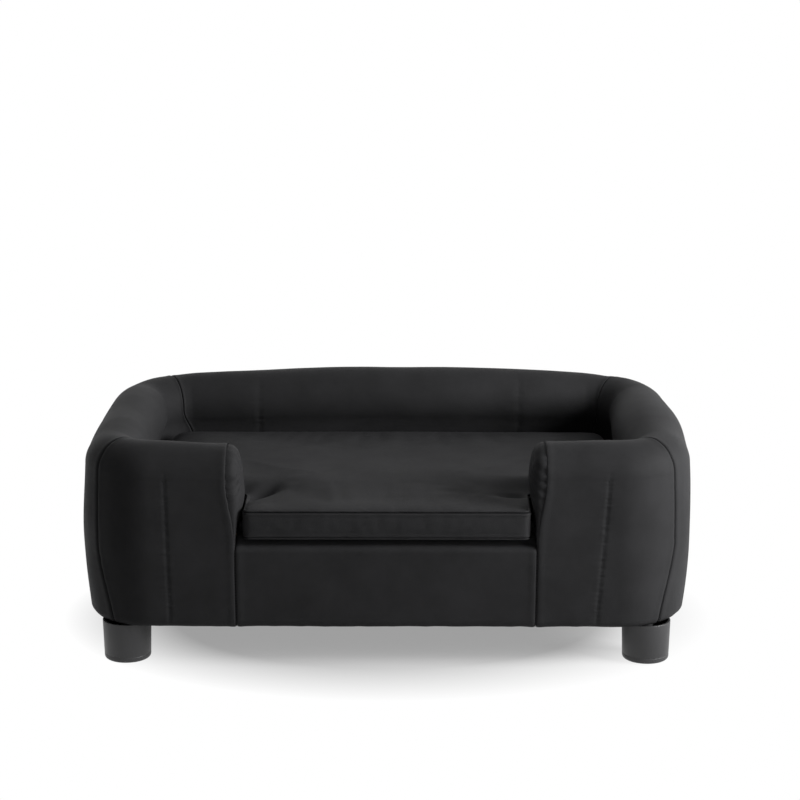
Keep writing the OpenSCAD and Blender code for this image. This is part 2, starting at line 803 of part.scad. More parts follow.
module cover_front_right() {
    cover(
        [seam_row(cover_line(0), seam_gap / 2)],
        [seam_row(cover_line(cover_cloth), seam_gap / 2)],
        concat(
            [for (k = [0 : front_seam_step - 1]) front_turn(k)],
            [front_turn(front_seam_step, -seam_gap / 2)]));
}
module cover_front_left() {
    mirror([1, 0, 0])
        cover_front_right();
}
module cover_side_right() {
    cover([], [], concat(
        [front_turn(front_seam_step, seam_gap / 2)],
        [for (k = [front_seam_step + 1 : corner_steps]) front_turn(k)],
        [for (k = [0 : rear_seam_step - 1]) rear_turn(k)],
        [rear_turn(rear_seam_step, -seam_gap / 2)]));
}
module cover_side_left() {
    mirror([1, 0, 0])
        cover_side_right();
}
module cover_back() {
    half = concat(
        [rear_turn(rear_seam_step, seam_gap / 2)],
        [for (k = [rear_seam_step + 1 : corner_steps]) rear_turn(k)]);
    middle = [for (k = [1 : back_steps - 1])
        back_station(blend(rear_x, -rear_x, k / back_steps))];
    other = [for (k = [len(half) - 1 : -1 : 0])
        [-half[k][0], half[k][1], -half[k][2], half[k][3]]];
    cover([], [], concat(half, middle, other));
}
module cover_apron() {
    reach = arm_seam - seam_gap / 2;
    ends = [front_station(-reach), front_station(reach)];
    lines = [for (depth = [0, cover_cloth]) concat(
        [[edge_centre + hem_width, cover_bottom + depth]],
        apron_line(depth),
        [[apron_reach, apron_top - depth]])];
    color("#1d1d1f")
        wall_solid(
            [for (s = ends) row(s, lines[0])],
            [for (s = ends) row(s, lines[1])],
            [for (i = [0 : len(lines[0]) - 1]) i]);
}

// Thin cloth over the deck, inside the walls and between the arms
module deck_cover() {
    front = -body_depth / 2 + apron_reach + line_gap;
    reach = arm_seam - seam_gap;
    color("#242426")
        translate([0, 0, deck_level])
            linear_extrude(deck_cloth) {
                plan(deck_cloth_inset);
                translate([-reach, front])
                    square([2 * reach, -front]);
            }
}
module dust_cover() {
    color("#202022")
        difference() {
            translate([0, 0, leg_height])
                linear_extrude(dust_cloth)
                    plan(dust_inset);
            for (p = leg_places)
                translate([p[0], p[1], leg_height - cut])
                    cylinder(r = bolt_radius + cut, h = dust_cloth + 2 * cut);
        }
}

// Cushion: T-shaped outline with rounded corners, each point with its outward direction
function arc_points(x, y, r, from, to, inward) =
    [for (k = [0 : cushion_steps]) let (a = blend(from, to, k / cushion_steps))
        [x + r * cos(a), y + r * sin(a), inward * cos(a), inward * sin(a)]];
function bulge_corner(x, y, r, from, inset) = arc_points(x, y, r - inset, from, from + 90, 1);
function notch(x, y, from, inset) =
    arc_points(x, y, notch_corner + inset, from, from - 90, -1);
back_left = -cushion_half + back_corner;
function back_points(inset) =
    [for (t = back_point_shares) [blend(-back_left, back_left, t), cushion_back - inset, 0, 1]];
function cushion_outline(inset) = concat(
    bulge_corner(tongue_half - tongue_corner, cushion_front + tongue_corner, tongue_corner, -90, inset),
    notch(tongue_half + notch_corner, shoulder_y - notch_corner, 180, inset),
    bulge_corner(cushion_half - shoulder_corner, shoulder_y + shoulder_corner,
        shoulder_corner, -90, inset),
    bulge_corner(-back_left, cushion_back - back_corner, back_corner, 0, inset),
    back_points(inset),
    bulge_corner(back_left, cushion_back - back_corner, back_corner, 90, inset),
    bulge_corner(shoulder_corner - cushion_half, shoulder_y + shoulder_corner,
        shoulder_corner, 180, inset),
    notch(-tongue_half - notch_corner, shoulder_y - notch_corner, 90, inset),
    bulge_corner(tongue_corner - tongue_half, cushion_front + tongue_corner,
        tongue_corner, 180, inset));

// Height of the top seam, which climbs toward the back
function top_seam(y) = low_seam + seam_rise * ease((y - shoulder_y) / (cushion_back - shoulder_y));
// Place on a ring that has shrunk toward the heart, and its distance in from the seam
function shrunk(p, share) = [
    blend(cushion_heart[0], p[0], share),
    blend(cushion_heart[1], p[1], share)];
function tongue_distance(x, y) =
    y < shoulder_y ? tongue_half - x :
    x > tongue_half ? y - shoulder_y : norm([tongue_half - x, y - shoulder_y]);
function edge_distance(q) = min(
    tongue_distance(abs(q[0]), q[1]),
    cushion_half - abs(q[0]),
    cushion_back - q[1],
    q[1] - cushion_front);
function seam_distance(q, share) = min(edge_distance(q), (1 - share) * tongue_half);
function crown_height(distance) = crown * (1 - exp(-distance / crown_reach));
function top_ring(share, depth) = [
    for (p = cushion_outline(seam_draw + depth))
        let (q = shrunk(p, share))
        let (rise = share < 1 ? crown_height(seam_distance(q, share)) - depth : 0)
        [q[0], q[1], top_seam(q[1]) + rise]];
function bottom_ring(share, depth) = [
    for (p = cushion_outline(seam_draw + depth))
        let (q = shrunk(p, share))
        [q[0], q[1], cushion_rest + depth]];
function seam_ring(depth, gap) = [
    for (p = cushion_outline(seam_draw + depth)) [p[0], p[1], bottom_seam + gap]];
// The boxing is drawn in at both seams
function boxing_ring(share, depth) = [
    for (p = cushion_outline(seam_draw * pow(2 * share - 1, 2) + depth))
        [p[0], p[1], blend(bottom_seam + seam_gap / 2, top_seam(p[1]) - seam_gap / 2, share)]];
top_of_heart = top_seam(cushion_heart[1]) + crown;
function heart_at(z) = [cushion_heart[0], cushion_heart[1], z];
upward_shares = [for (i = [len(ring_shares) - 1 : -1 : 0]) ring_shares[i]];

module cushion_core() {
    depth = cover_cloth + core_gap;
    color("khaki")
        ring_solid(
            concat(
                [for (s = bottom_shares) bottom_ring(s, depth)],
                [for (s = boxing_shares) boxing_ring(s, depth)],
                [for (s = ring_shares) if (s < 1) top_ring(s, depth)]),
            heart_at(cushion_rest + depth),
            heart_at(top_of_heart - depth),
            true);
}

module cushion_top_panel() {
    color("#1d1d1f")
        domed_cloth(
            [for (s = upward_shares) raised_ring(top_ring(s, 0), s)],
            [for (s = upward_shares) raised_ring(top_ring(s, cover_cloth), s)],
            heart_at(top_of_heart),
            heart_at(top_of_heart - cover_cloth),
            false);
}
// The top panel's rim stays clear of the boxing
function raised_ring(ring, share) =
    share < 1 ? ring : [for (p = ring) [p[0], p[1], p[2] + seam_gap / 2]];

module cushion_boxing() {
    color("#1d1d1f")
        band(
            [for (s = boxing_shares) boxing_ring(s, 0)],
            [for (s = boxing_shares) boxing_ring(s, cover_cloth)],
            true);
}
module cushion_bottom_panel() {
    color("#1d1d1f")
        domed_cloth(
            concat([for (s = bottom_shares) bottom_ring(s, 0)], [seam_ring(0, -seam_gap / 2)]),
            concat([for (s = bottom_shares) bottom_ring(s, cover_cloth)],
                [seam_ring(cover_cloth, -seam_gap / 2)]),
            heart_at(cushion_rest),
            heart_at(cushion_rest + cover_cloth),
            true);
}

module zip_tape() {
    color("#161617")
        translate([-zip_length / 2, tape_face - tape_thickness, zip_height - tape_width / 2])
            cube([zip_length, tape_thickness, tape_width]);
}
module zip_coil() {
    color("#101011")
        translate([-zip_length / 2, tape_face, zip_height - coil_width / 2])
            cube([zip_length, coil_height, coil_width]);
}
// Slider that straddles the coil, with a bridge for the pull
module zip_slider() {
    lip_face = tape_face + seam_gap;
    post = (bridge_length - bridge_opening) / 2;
    color("gray")
        translate([slider_start, 0, zip_height]) {
            difference() {
                translate([-slider_length / 2, lip_face, -slider_half])
                    cube([slider_length, plate_face - lip_face, 2 * slider_half]);
                translate([-slider_length / 2 - cut, lip_face - cut, -coil_width / 2 - seam_gap])
                    cube([slider_length + 2 * cut, coil_face + seam_gap - lip_face + cut,
                        coil_width + 2 * seam_gap]);
            }
            difference() {
                translate([-bridge_length / 2, plate_face, -bridge_width / 2])
                    cube([bridge_length, bridge_inside + slider_plate - plate_face, bridge_width]);
                translate([-bridge_length / 2 + post, plate_face, -bridge_width / 2 - cut])
                    cube([bridge_opening, bridge_inside - plate_face, bridge_width + 2 * cut]);
            }
        }
}
// Flat pull with a window round the bridge and a pin under it
module zip_pull() {
    pin = pull_thickness / 2;
    window_end = sqrt(pow(bridge_length / 2, 2) + pow(bridge_inside + slider_plate - pin_place, 2))
        + 2 * seam_gap;
    window_half = bridge_width / 2 + seam_gap;
    color("gray")
        translate([slider_start, pin_place, zip_height]) {
            translate([0, 0, -pull_width / 2])
                cylinder(r = pin, h = pull_width);
            for (side = [-1, 1])
                translate([0, -pin, side > 0 ? window_half : -pull_width / 2])
                    cube([window_end, pull_thickness, pull_width / 2 - window_half]);
            translate([window_end, -pin, -pull_width / 2])
                cube([pull_length - window_end, pull_thickness, pull_width]);
        }
}

leg_front_left();
leg_front_right();
leg_rear_left();
leg_rear_right();
leg_glides();
leg_bolts();
tee_nuts();
base_board();
front_panel();
back_panel();
side_panel_left();
side_panel_right();
corner_panel_front_left();
corner_panel_front_right();
corner_panel_rear_left();
corner_panel_rear_right();
corner_posts();
deck_rail_front();
deck_rail_rear();
deck_rails_side();
centre_bearer();
deck_board();
deck_screws();
foam_back();
foam_side_left();
foam_side_right();
foam_front_left();
foam_front_right();
foam_corner_front_left();
foam_corner_front_right();
foam_corner_rear_left();
foam_corner_rear_right();
foam_apron();
arm_end_pad_left();
arm_end_pad_right();
cover_back();
cover_side_left();
cover_side_right();
cover_front_left();
cover_front_right();
arm_end_cover_left();
arm_end_cover_right();
cover_apron();
deck_cover();
dust_cover();
cushion_core();
cushion_top_panel();
cushion_boxing();
cushion_bottom_panel();
zip_tape();
zip_coil();
zip_slider();
zip_pull();
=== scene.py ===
import bpy
import math
import numpy as np
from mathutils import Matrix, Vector
from mathutils.bvhtree import BVHTree
from mathutils.geometry import delaunay_2d_cdt
from mathutils.kdtree import KDTree


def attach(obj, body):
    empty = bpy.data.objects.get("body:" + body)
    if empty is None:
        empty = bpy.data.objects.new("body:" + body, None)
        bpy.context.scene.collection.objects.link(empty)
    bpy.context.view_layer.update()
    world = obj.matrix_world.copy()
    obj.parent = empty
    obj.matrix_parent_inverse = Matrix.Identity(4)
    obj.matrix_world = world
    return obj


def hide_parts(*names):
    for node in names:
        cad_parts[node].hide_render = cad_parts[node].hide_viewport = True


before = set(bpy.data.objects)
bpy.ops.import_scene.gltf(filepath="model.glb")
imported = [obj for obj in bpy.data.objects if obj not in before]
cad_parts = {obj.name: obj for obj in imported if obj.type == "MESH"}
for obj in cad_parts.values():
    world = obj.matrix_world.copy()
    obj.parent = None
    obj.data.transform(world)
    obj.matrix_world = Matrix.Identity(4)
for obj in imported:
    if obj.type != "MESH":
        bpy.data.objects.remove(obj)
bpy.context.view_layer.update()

RNG = np.random.default_rng(7)
MM = 0.001

# Sizes of the body, in millimetres, as in the CAD source
WIDTH, DEPTH, WALL_TOP, RISE = 950.0, 567.0, 352.0, 13.6
R_FRONT, R_REAR = 117.0, 140.0
ROLL, ROLL_IN, WIDEST, BOTTOM_IN, EDGE = 48.2, 3.4, 202.0, 7.8, 14.0
INNER, CLOTH, GAP, HEM = 82.0, 1.2, 0.3, 14.0
BOTTOM, DECK, FOOT = 64.6, 206.5, 208.0
ARM, LEAN, LEAN_H = 230.0, 12.0, 95.0
EDGE_C = BOTTOM_IN + EDGE
EDGE_Z = BOTTOM + EDGE
ROLL_C = ROLL_IN + ROLL
ROLL_Z = WALL_TOP - ROLL
FX, FY = WIDTH / 2 - R_FRONT, -DEPTH / 2 + R_FRONT
RX, RY = WIDTH / 2 - R_REAR, DEPTH / 2 - R_REAR
RISE_END = WIDTH / 2 - R_REAR * 0.6
ROLL_END = math.degrees(-0.5)

# ---------------------------------------------------------------- helpers


def ease(t):
    c = np.clip(t, 0, 1)
    return c * c * (3 - 2 * c)


def mix(a, b, t):
    return a + (b - a) * t


LATTICE = RNG.random((8, 64, 64))


def noise(x, y, seed=0):
    """Smooth noise from -1 to 1 on a lattice of pitch 1."""
    g = LATTICE[seed % 8]
    x, y = np.asarray(x, float) + 13.7 * seed, np.asarray(y, float) + 7.3 * seed
    i, j = np.floor(x).astype(int), np.floor(y).astype(int)
    u, v = x - i, y - j
    u, v = u * u * (3 - 2 * u), v * v * (3 - 2 * v)
    a, b = g[i % 64, j % 64], g[(i + 1) % 64, j % 64]
    c, d = g[i % 64, (j + 1) % 64], g[(i + 1) % 64, (j + 1) % 64]
    return 2 * mix(mix(a, b, u), mix(c, d, u), v) - 1


def bell(t, width):
    return np.exp(-((t / width) ** 2))


def fade(t, reach):
    return np.exp(-np.abs(t) / reach)


def joined(*parts):
    """Points from their coordinates, each a number or an array."""
    return np.stack(np.broadcast_arrays(*parts), -1)


def arc(x, y, radius, start, end, count):
    """Points of a circle's arc, from one angle to another in degrees."""
    a = np.radians(np.linspace(start, end, count))
    return joined(x + radius * np.cos(a), y + radius * np.sin(a))


def units(v):
    return v / np.maximum(np.linalg.norm(v, axis=-1, keepdims=True), 1e-9)


def object_from(name, verts, faces, smooth=True):
    data = bpy.data.meshes.new(name)
    data.from_pydata((np.asarray(verts, float) * MM).tolist(), [], [list(map(int, f)) for f in faces])
    data.validate()
    data.update()
    if smooth:
        data.polygons.foreach_set("use_smooth", [True] * len(data.polygons))
    piece = bpy.data.objects.new(name, data)
    bpy.context.scene.collection.objects.link(piece)
    return piece


def grid_faces(rows, cols, wrap=False, start=0):
    j, i = np.meshgrid(np.arange(rows - 1), np.arange(cols if wrap else cols - 1), indexing="ij")
    k = (i + 1) % cols
    a, b = start + j * cols + i, start + j * cols + k
    c, d = start + (j + 1) * cols + k, start + (j + 1) * cols + i
    return joined(a, d, c, b).reshape(-1, 4).tolist()


def tube_faces(rows, cols, start=0):
    """Faces of a closed tube of points, with a cap at either end."""
    last = start + (rows - 1) * cols
    caps = [[start + k for k in range(cols)], [last + k for k in range(cols)][::-1]]
    return grid_faces(rows, cols, True, start) + caps


def grid_piece(name, points, wrap=False):
    return object_from(name, points.reshape(-1, 3), grid_faces(*points.shape[:2], wrap))


def normals_of(p, wrap=False):
    """Unit normals of a grid of points."""
    if wrap:
        dv = np.roll(p, -1, 1) - np.roll(p, 1, 1)
    else:
        dv = np.gradient(p, axis=1)
    return units(np.cross(np.gradient(p, axis=0), dv))


def dress(piece, body, material, replaces=(), thickness=0.0, inside=None):
    """Gives a piece its material, thickness and body, and hides the CAD nodes it replaces; its faces turn
    away from a point inside.
    """
    piece.data.materials.clear()
    piece.data.materials.append(material)
    if inside is not None:
        ref = Vector(inside) * MM
        if sum((p.center - ref).dot(p.normal) * p.area for p in piece.data.polygons) < 0:
            piece.data.flip_normals()
    if thickness:
        skin = piece.modifiers.new("cloth", "SOLIDIFY")
        skin.thickness = thickness * MM
        skin.offset = -1
        skin.use_even_offset = False
    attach(piece, body)
    if replaces:
        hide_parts(*replaces)


# ---------------------------------------------------------------- materials


def fill(tree, node, values):
    """Gives a node its settings, and its inputs as numbers or as outputs of other nodes."""
    for key, value in values.items():
        name = key.replace("_", " ") if isinstance(key, str) else key
        if isinstance(value, bpy.types.NodeSocket):
            tree.links.new(value, node.inputs[name])
        elif isinstance(key, str) and hasattr(node, key):
            setattr(node, key, value)
        elif value is not None:
            node.inputs[name].default_value = value


def add_node(tree, kind, output, *inputs, **values):
    """Adds a node with its inputs by number and its values by name, and returns one of its outputs."""
    node = tree.nodes.new(kind)
    fill(tree, node, {**values, **dict(enumerate(inputs))})
    return node.outputs[output]


def seen_rays(tree):
    """1 for rays from the camera, and for those that show a background in metal or glass."""
    path = tree.nodes.new("ShaderNodeLightPath")
    value = path.outputs["Is Camera Ray"]
    for name in ("Is Glossy Ray", "Is Transmission Ray"):
        value = add_node(tree, "ShaderNodeMath", 0, value, path.outputs[name], operation="MAXIMUM")
    return value


class Nodes:
    """The node tree of one material, with its nodes made in short calls."""

    def __init__(self, name):
        self.material = bpy.data.materials.new(name)
        self.material.use_nodes = True
        self.tree = self.material.node_tree
        self.shader = self.tree.nodes["Principled BSDF"]
        self.place = self.add("ShaderNodeTexCoord", "Object")

    def add(self, kind, output, *inputs, **values):
        return add_node(self.tree, kind, output, *inputs, **values)

    def noise(self, scale, detail=2.0, rough=0.5, vector=None):
        return self.add("ShaderNodeTexNoise", "Fac", Scale=scale, Detail=detail, Roughness=rough,
                        Vector=vector or self.place)

    def cells(self, scale, feature="F1"):
        return self.add("ShaderNodeTexVoronoi", "Distance", feature=feature, Scale=scale,
                        Vector=self.place)

    def ramp(self, value, low, high, out_low, out_high):
        return self.add("ShaderNodeMapRange", "Result", Value=value, From_Min=low, From_Max=high,
                        To_Min=out_low, To_Max=out_high)

    def colour(self, value, low, high):
        node = self.tree.nodes.new("ShaderNodeMix")
        fill(self.tree, node, {"data_type": "RGBA", 0: value, 6: (*low, 1), 7: (*high, 1)})
        return node.outputs[2]

    def maths(self, operation, a, b):
        return self.add("ShaderNodeMath", 0, a, b, operation=operation)

    def sum(self, *terms):
        """Sum of values, each times its share."""
        total = None
        for value, share in terms:
            part = self.maths("MULTIPLY", value, share)
            total = part if total is None else self.maths("ADD", total, part)
        return total

    def stretched(self, x, y, z):
        return self.add("ShaderNodeMapping", "Vector", Scale=(x, y, z), Vector=self.place)

    def bump(self, height, distance, strength=1.0, under=None):
        return self.add("ShaderNodeBump", "Normal", Strength=strength, Distance=distance,
                        Height=height, Normal=under)

    def finish(self, base, rough, normal=None, **sockets):
        fill(self.tree, self.shader, {"Base Color": base, "Roughness": rough, "Normal": normal, **sockets})
        return self.material


def leather(name, dark, pale, low, high):
    """Embossed synthetic leather: pebbled grain, pores, and slight wear in its gloss."""
    n = Nodes(name)
    wander = n.noise(9, 3)
    grain = n.cells(950)
    pores = n.ramp(n.cells(1500, "DISTANCE_TO_EDGE"), 0.0, 0.12, 0, 1)
    broad = n.noise(260, 4, 0.6)
    height = n.sum((grain, -0.55), (pores, 0.35), (broad, 0.7))
    fine = n.bump(height, 0.00022, 0.75)
    normal = n.bump(n.noise(38, 3, 0.5), 0.0011, 0.35, fine)
    rough = n.maths("ADD", n.ramp(wander, 0.3, 0.7, low, high), n.maths("MULTIPLY", pores, 0.03))
    base = n.colour(n.ramp(n.noise(14, 4, 0.6), 0.3, 0.72, 0, 1), dark, pale)
    return n.finish(base, rough, normal, Specular_IOR_Level=0.05)


def plastic(name, dark, pale, low, high):
    n = Nodes(name)
    normal = n.bump(n.noise(1400, 2, 0.6), 0.00012, 0.55)
    rough = n.ramp(n.noise(24, 3), 0.3, 0.7, low, high)
    return n.finish(n.colour(n.noise(40, 3), dark, pale), rough, normal, Specular_IOR_Level=0.45)


def metal(name, dark, pale, low, high):
    n = Nodes(name)
    brushed = n.noise(900, 3, 0.6, n.stretched(1, 1, 0.08))
    return n.finish(n.colour(n.noise(60, 4), dark, pale), n.ramp(brushed, 0.3, 0.7, low, high),
                    n.bump(brushed, 0.00006, 0.5), Metallic=1.0)


def timber(name, dark, pale, along):
    """Sawn wood with grain along one axis."""
    n = Nodes(name)
    scale = [60, 60, 60]
    scale["xyz".index(along)] = 4
    rings = n.noise(3.2, 5, 0.62, n.stretched(*[s / 3.2 for s in scale]))
    fibre = n.noise(9, 2, 0.5, n.stretched(*[s * 2.4 for s in scale]))
    base = n.colour(n.ramp(n.sum((rings, 0.7), (fibre, 0.3)), 0.3, 0.7, 0, 1), dark, pale)
    return n.finish(base, n.ramp(fibre, 0.2, 0.8, 0.55, 0.75), n.bump(fibre, 0.0003, 0.5),
                    Specular_IOR_Level=0.3)


def foam_material(name, dark, pale):
    n = Nodes(name)
    pores = n.cells(420)
    base = n.colour(n.ramp(pores, 0.1, 0.7, 0, 1), pale, dark)
    return n.finish(base, n.ramp(pores, 0, 1, 0.82, 0.95), n.bump(pores, 0.0008, 0.8),
                    Specular_IOR_Level=0.15)


def cloth(name, dark, pale, pitch=0.0011):
    """Woven or bonded cloth: crossed threads with flecks."""
    n = Nodes(name)
    weave = n.maths("MAXIMUM", *[
        n.add("ShaderNodeTexWave", "Fac", bands_direction=way, Scale=0.314 / pitch, Distortion=0.8,
              Detail_Scale=3, Vector=n.place) for way in "XY"])
    flecks = n.noise(700, 4, 0.7)
    tone = n.sum((weave, 0.5), (flecks, 0.5))
    base = n.colour(n.ramp(tone, 0.25, 0.85, 0, 1), dark, pale)
    rough = n.ramp(flecks, 0.2, 0.8, 0.8, 0.95)
    return n.finish(base, rough, n.bump(tone, 0.0003, 0.7), Specular_IOR_Level=0.2)


LEATHER = leather("black_leather", (0.0198, 0.0198, 0.0206), (0.0262, 0.0262, 0.0274), 0.50, 0.60)
THREAD = cloth("thread", (0.005, 0.005, 0.0055), (0.014, 0.014, 0.015), 0.0004)
LEG = plastic("leg_plastic", (0.0205, 0.0205, 0.0215), (0.0252, 0.0252, 0.0265), 0.42, 0.52)
GLIDE = plastic("glide_plastic", (0.012, 0.012, 0.012), (0.02, 0.02, 0.02), 0.6, 0.7)
BLACK_CLOTH = cloth("black_cloth", (0.008, 0.008, 0.009), (0.022, 0.022, 0.024))
TAPE = cloth("zip_cloth", (0.008, 0.008, 0.009), (0.02, 0.02, 0.021), 0.0006)
COIL = plastic("zip_plastic", (0.008, 0.008, 0.008), (0.014, 0.014, 0.014), 0.3, 0.4)
ZIP_METAL = metal("zip_metal", (0.02, 0.02, 0.021), (0.05, 0.05, 0.052), 0.25, 0.42)
STEEL = metal("zinc_steel", (0.5, 0.5, 0.52), (0.72, 0.72, 0.74), 0.25, 0.45)
FOAM = foam_material("foam", (0.62, 0.58, 0.44), (0.86, 0.83, 0.7))
CUSHION_FOAM = foam_material("cushion_foam", (0.6, 0.52, 0.34), (0.84, 0.78, 0.58))
PLY_X = timber("plywood", (0.42, 0.28, 0.15), (0.72, 0.55, 0.35), "x")
PLY_EDGE = timber("bent_ply", (0.4, 0.27, 0.15), (0.68, 0.5, 0.32), "z")
PINE_X = timber("pine", (0.5, 0.33, 0.17), (0.8, 0.62, 0.4), "x")
PINE_Y = timber("pine_along", (0.5, 0.33, 0.17), (0.8, 0.62, 0.4), "y")
PINE_Z = timber("pine_upright", (0.5, 0.33, 0.17), (0.8, 0.62, 0.4), "z")

# ---------------------------------------------------------------- the wall


def face_inset(z):
    low = BOTTOM_IN * ((WIDEST - z) / (WIDEST - EDGE_Z)) ** 2
    high = ROLL_IN * ((z - WIDEST) / (ROLL_Z - WIDEST)) ** 2
    return np.where(z < WIDEST, low, high)


# The hem under the body and the rounded edge beside it, shared by the wall and the apron
LOWER_EDGE = [joined(np.linspace(EDGE_C + HEM, EDGE_C, 5)[:-1], BOTTOM),
              arc(EDGE_C, EDGE_Z, EDGE, 270, 180, 8)[:-1]]


def profile(step=3.4, hem=True, foot=DECK):
    """The wall's outline as inset and height, from the hem over the roll to the deck."""
    parts = LOWER_EDGE[0 if hem else 1:]
    z = np.linspace(EDGE_Z, ROLL_Z, int((ROLL_Z - EDGE_Z) / step))
    parts.append(joined(face_inset(z), z)[:-1])
    count = int(ROLL * math.radians(180 - ROLL_END) / step)
    parts.append(arc(ROLL_C, ROLL_Z, ROLL, 180, ROLL_END, count))
    # below the roll the foam fills out the inner face, along a curve with two handles
    start, end = parts[-1][-1], np.array([INNER, foot])
    high, low = np.array([86.5, 267]), np.array([82, 245])
    t = np.linspace(0, 1, int(76 / step))[1:, None]
    parts.append((1 - t) ** 3 * start + 3 * (1 - t) * t * ((1 - t) * high + t * low) + t ** 3 * end)
    return np.concatenate(parts)


# The wall's widest line, as lengths from the seam of one arm's end
CUTS = np.cumsum([0, FX - ARM, math.pi / 2 * R_FRONT, RY - FY, math.pi / 2 * R_REAR, RX])
HALF = CUTS[-1]


def station(s):
    """Place on the widest line and way into the wall, at a length from the right arm's seam."""
    s = np.asarray(s, float)
    left = s > HALF
    t = np.where(left, 2 * HALF - s, s)
    a = (t - CUTS[1]) / R_FRONT - math.pi / 2
    b = (t - CUTS[3]) / R_REAR
    # the front, its corner, the side, the rear corner, and the back
    reach = [t <= cut for cut in CUTS[1:5]]
    x = np.select(reach, [ARM + t, FX + R_FRONT * np.cos(a), WIDTH / 2, RX + R_REAR * np.cos(b)],
                  HALF - t)
    y = np.select(reach, [-DEPTH / 2, FY + R_FRONT * np.sin(a), FY + t - CUTS[2],
                          RY + R_REAR * np.sin(b)], DEPTH / 2)
    nx = np.select(reach, [0, -np.cos(a), -1, -np.cos(b)], 0.0)
    ny = np.select(reach, [1, -np.sin(a), 0, -np.sin(b)], -1.0)
    return np.where(left, -x, x), y, np.where(left, -nx, nx), ny


def lift(x, y):
    return np.where(y > RY, RISE * np.maximum(0, 1 - (x / RISE_END) ** 2) - 2.6 * bell(x + 250, 90), 0)


def rise_share(z):
    return (z - BOTTOM) / (WALL_TOP - BOTTOM)


# Seams, as lengths along the widest line; the front corner's seam swings forward toward its foot
def arm_line(z):
    return LEAN * ease((z - FOOT) / LEAN_H)


def front_line(z, outside):
    low = ease((WIDEST - z) / (WIDEST - BOTTOM)) * outside
    return CUTS[1] + R_FRONT * math.radians(47) - R_FRONT * math.radians(11) * low


def rear_line(z, outside, start=57.0, turn=17.0):
    inner = np.where(outside, 0.0, ease((302 - z) / 48))
    return CUTS[3] + R_REAR * np.radians(start + turn * inner)


# Where the stuffing is fuller or slacker: place in plan, reach and amount
PUFFS = [(476, -15, 105, 7.4), (-438, 180, 42, -4.6), (408, 220, 34, 2.6), (-474, -168, 55, -2.2),
         (476, 150, 45, -1.0)]

# Seams from the right arm's end round to the left arm's end. Each takes a height and whether the
# outer face is meant
SEAMS = [lambda z, outside: arm_line(z), front_line, rear_line,
         lambda z, outside: 2 * HALF - rear_line(z, outside, 64.0, 20.0),
         lambda z, outside: 2 * HALF - front_line(z, outside),
         lambda z, outside: 2 * HALF - arm_line(z)]
ARM_SEAMS = (0, 5)
# Lines of stitching that quilt the cover to the foam: on the right and left arm, and over the back
QUILTS = [lambda z, outside: mix(94, 110, np.clip((z - 95) / 225, 0, 1)),
          lambda z, outside: 2 * HALF - mix(102, 106, np.clip((z - 95) / 225, 0, 1)),
          lambda z, outside: HALF - 223 + 0 * z, lambda z, outside: HALF + 223 + 0 * z]


def crumple(s, v, seed):
    """Short puckers that run out from a seam, told by the place along it."""
    return noise(v / 11, s / 60, seed) * 0.6 + noise(v / 5.2, s / 40, seed + 1) * 0.4


def seam_push(t, run, k, deep, wide):
    """Groove of a seam, with the swell and the puckers beside it."""
    swell = 0.55 * bell(np.abs(t) - 6.5, 4.5)
    return (-deep * bell(t, wide) + swell + 0.6 * fade(t, 15) * crumple(t, run + 100 * k, 3)
            + 0.25 * fade(t, 6) * noise(run / 3.4, t / 30, k))


def hem_push(run, s):
    """Slight waves along the lower edge."""
    return 0.6 * fade(np.maximum(run - HEM, 0), 22) * noise(s / 13, run / 60, 6)


# Depth and width of a seam's groove
ARM_GROOVE, GROOVE = (1.3, 1.4), (1.9, 1.8)


def quilted(k, run):
    """Share of a quilting line's depth along the run: arms' fronts, and the back's inner face."""
    if k < 2:
        return ease((run - 16) / 20) * (1 - ease((run - 250) / 30))
    return ease((run - 352) / 20)


def wall_shape(s, line, run):
    """Points of the wall's cover for lengths s (rows x points), with folds pressed into them."""
    p, z = line[:, 0][None, :], line[:, 1][None, :]
    outside = p < ROLL_C
    x, y, nx, ny = station(s)
    # the back stands higher in its middle; inside, that starts from the deck
    share = np.where(outside, rise_share(z), np.clip((z - DECK) / (WALL_TOP - DECK), 0, 1))
    flat = joined(x + nx * p, y + ny * p, z + lift(x, y) * share)
    normal = normals_of(flat)
    push = 0.7 * noise(s / 95, run / 110, 1) + 0.35 * noise(s / 34, run / 46, 2)
    for px, py, reach, size in PUFFS:
        push = push + size * bell(np.hypot(x - px, y - py), reach) * ease((z - 200) / 85)
    for k, seam in enumerate(SEAMS):
        groove = ARM_GROOVE if k in ARM_SEAMS else GROOVE
        push = push + seam_push(s - seam(z, outside), run, k, *groove)
    for k, quilt in enumerate(QUILTS):
        t = s - quilt(z, outside)
        row = -1.1 * bell(t, 2.6) + 0.8 * fade(t, 5) * noise(run / 3.2, t / 40, k)
        push = push + quilted(k, run) * (row + 0.5 * fade(t, 12) * crumple(t, run + 70 * k, 5))
    push = push + hem_push(run, s)
    push = push * np.clip(run / 20, 0, 1) * np.clip((run[:, -1:] - run) / 24, 0, 1)
    flat = flat + normal * push[..., None]
    return sag_arm(flat)


def sag_arm(points):
    """The arms sag a little toward the entrance, the left one more."""
    x, y, z = points[..., 0], points[..., 1], points[..., 2]
    arm = ease((FY + 20 - y) / 40)
    depth = np.where(x < 0, 7.0, 2.0) * ease((400 - np.abs(x)) / 170) * arm
    moved = points.copy()
    moved[..., 2] -= depth * np.clip(rise_share(z), 0, 1) ** 2.2
    return moved


def line_run(line):
    return np.concatenate([[0], np.cumsum(np.linalg.norm(np.diff(line, axis=0), axis=1))])


LINE = profile()
RUN = line_run(LINE)
OUTSIDE = LINE[:, 0] < ROLL_C

EDGE_ROWS = np.array([0, 0.8, 1.7, 2.8, 4.2, 6, 8.3])


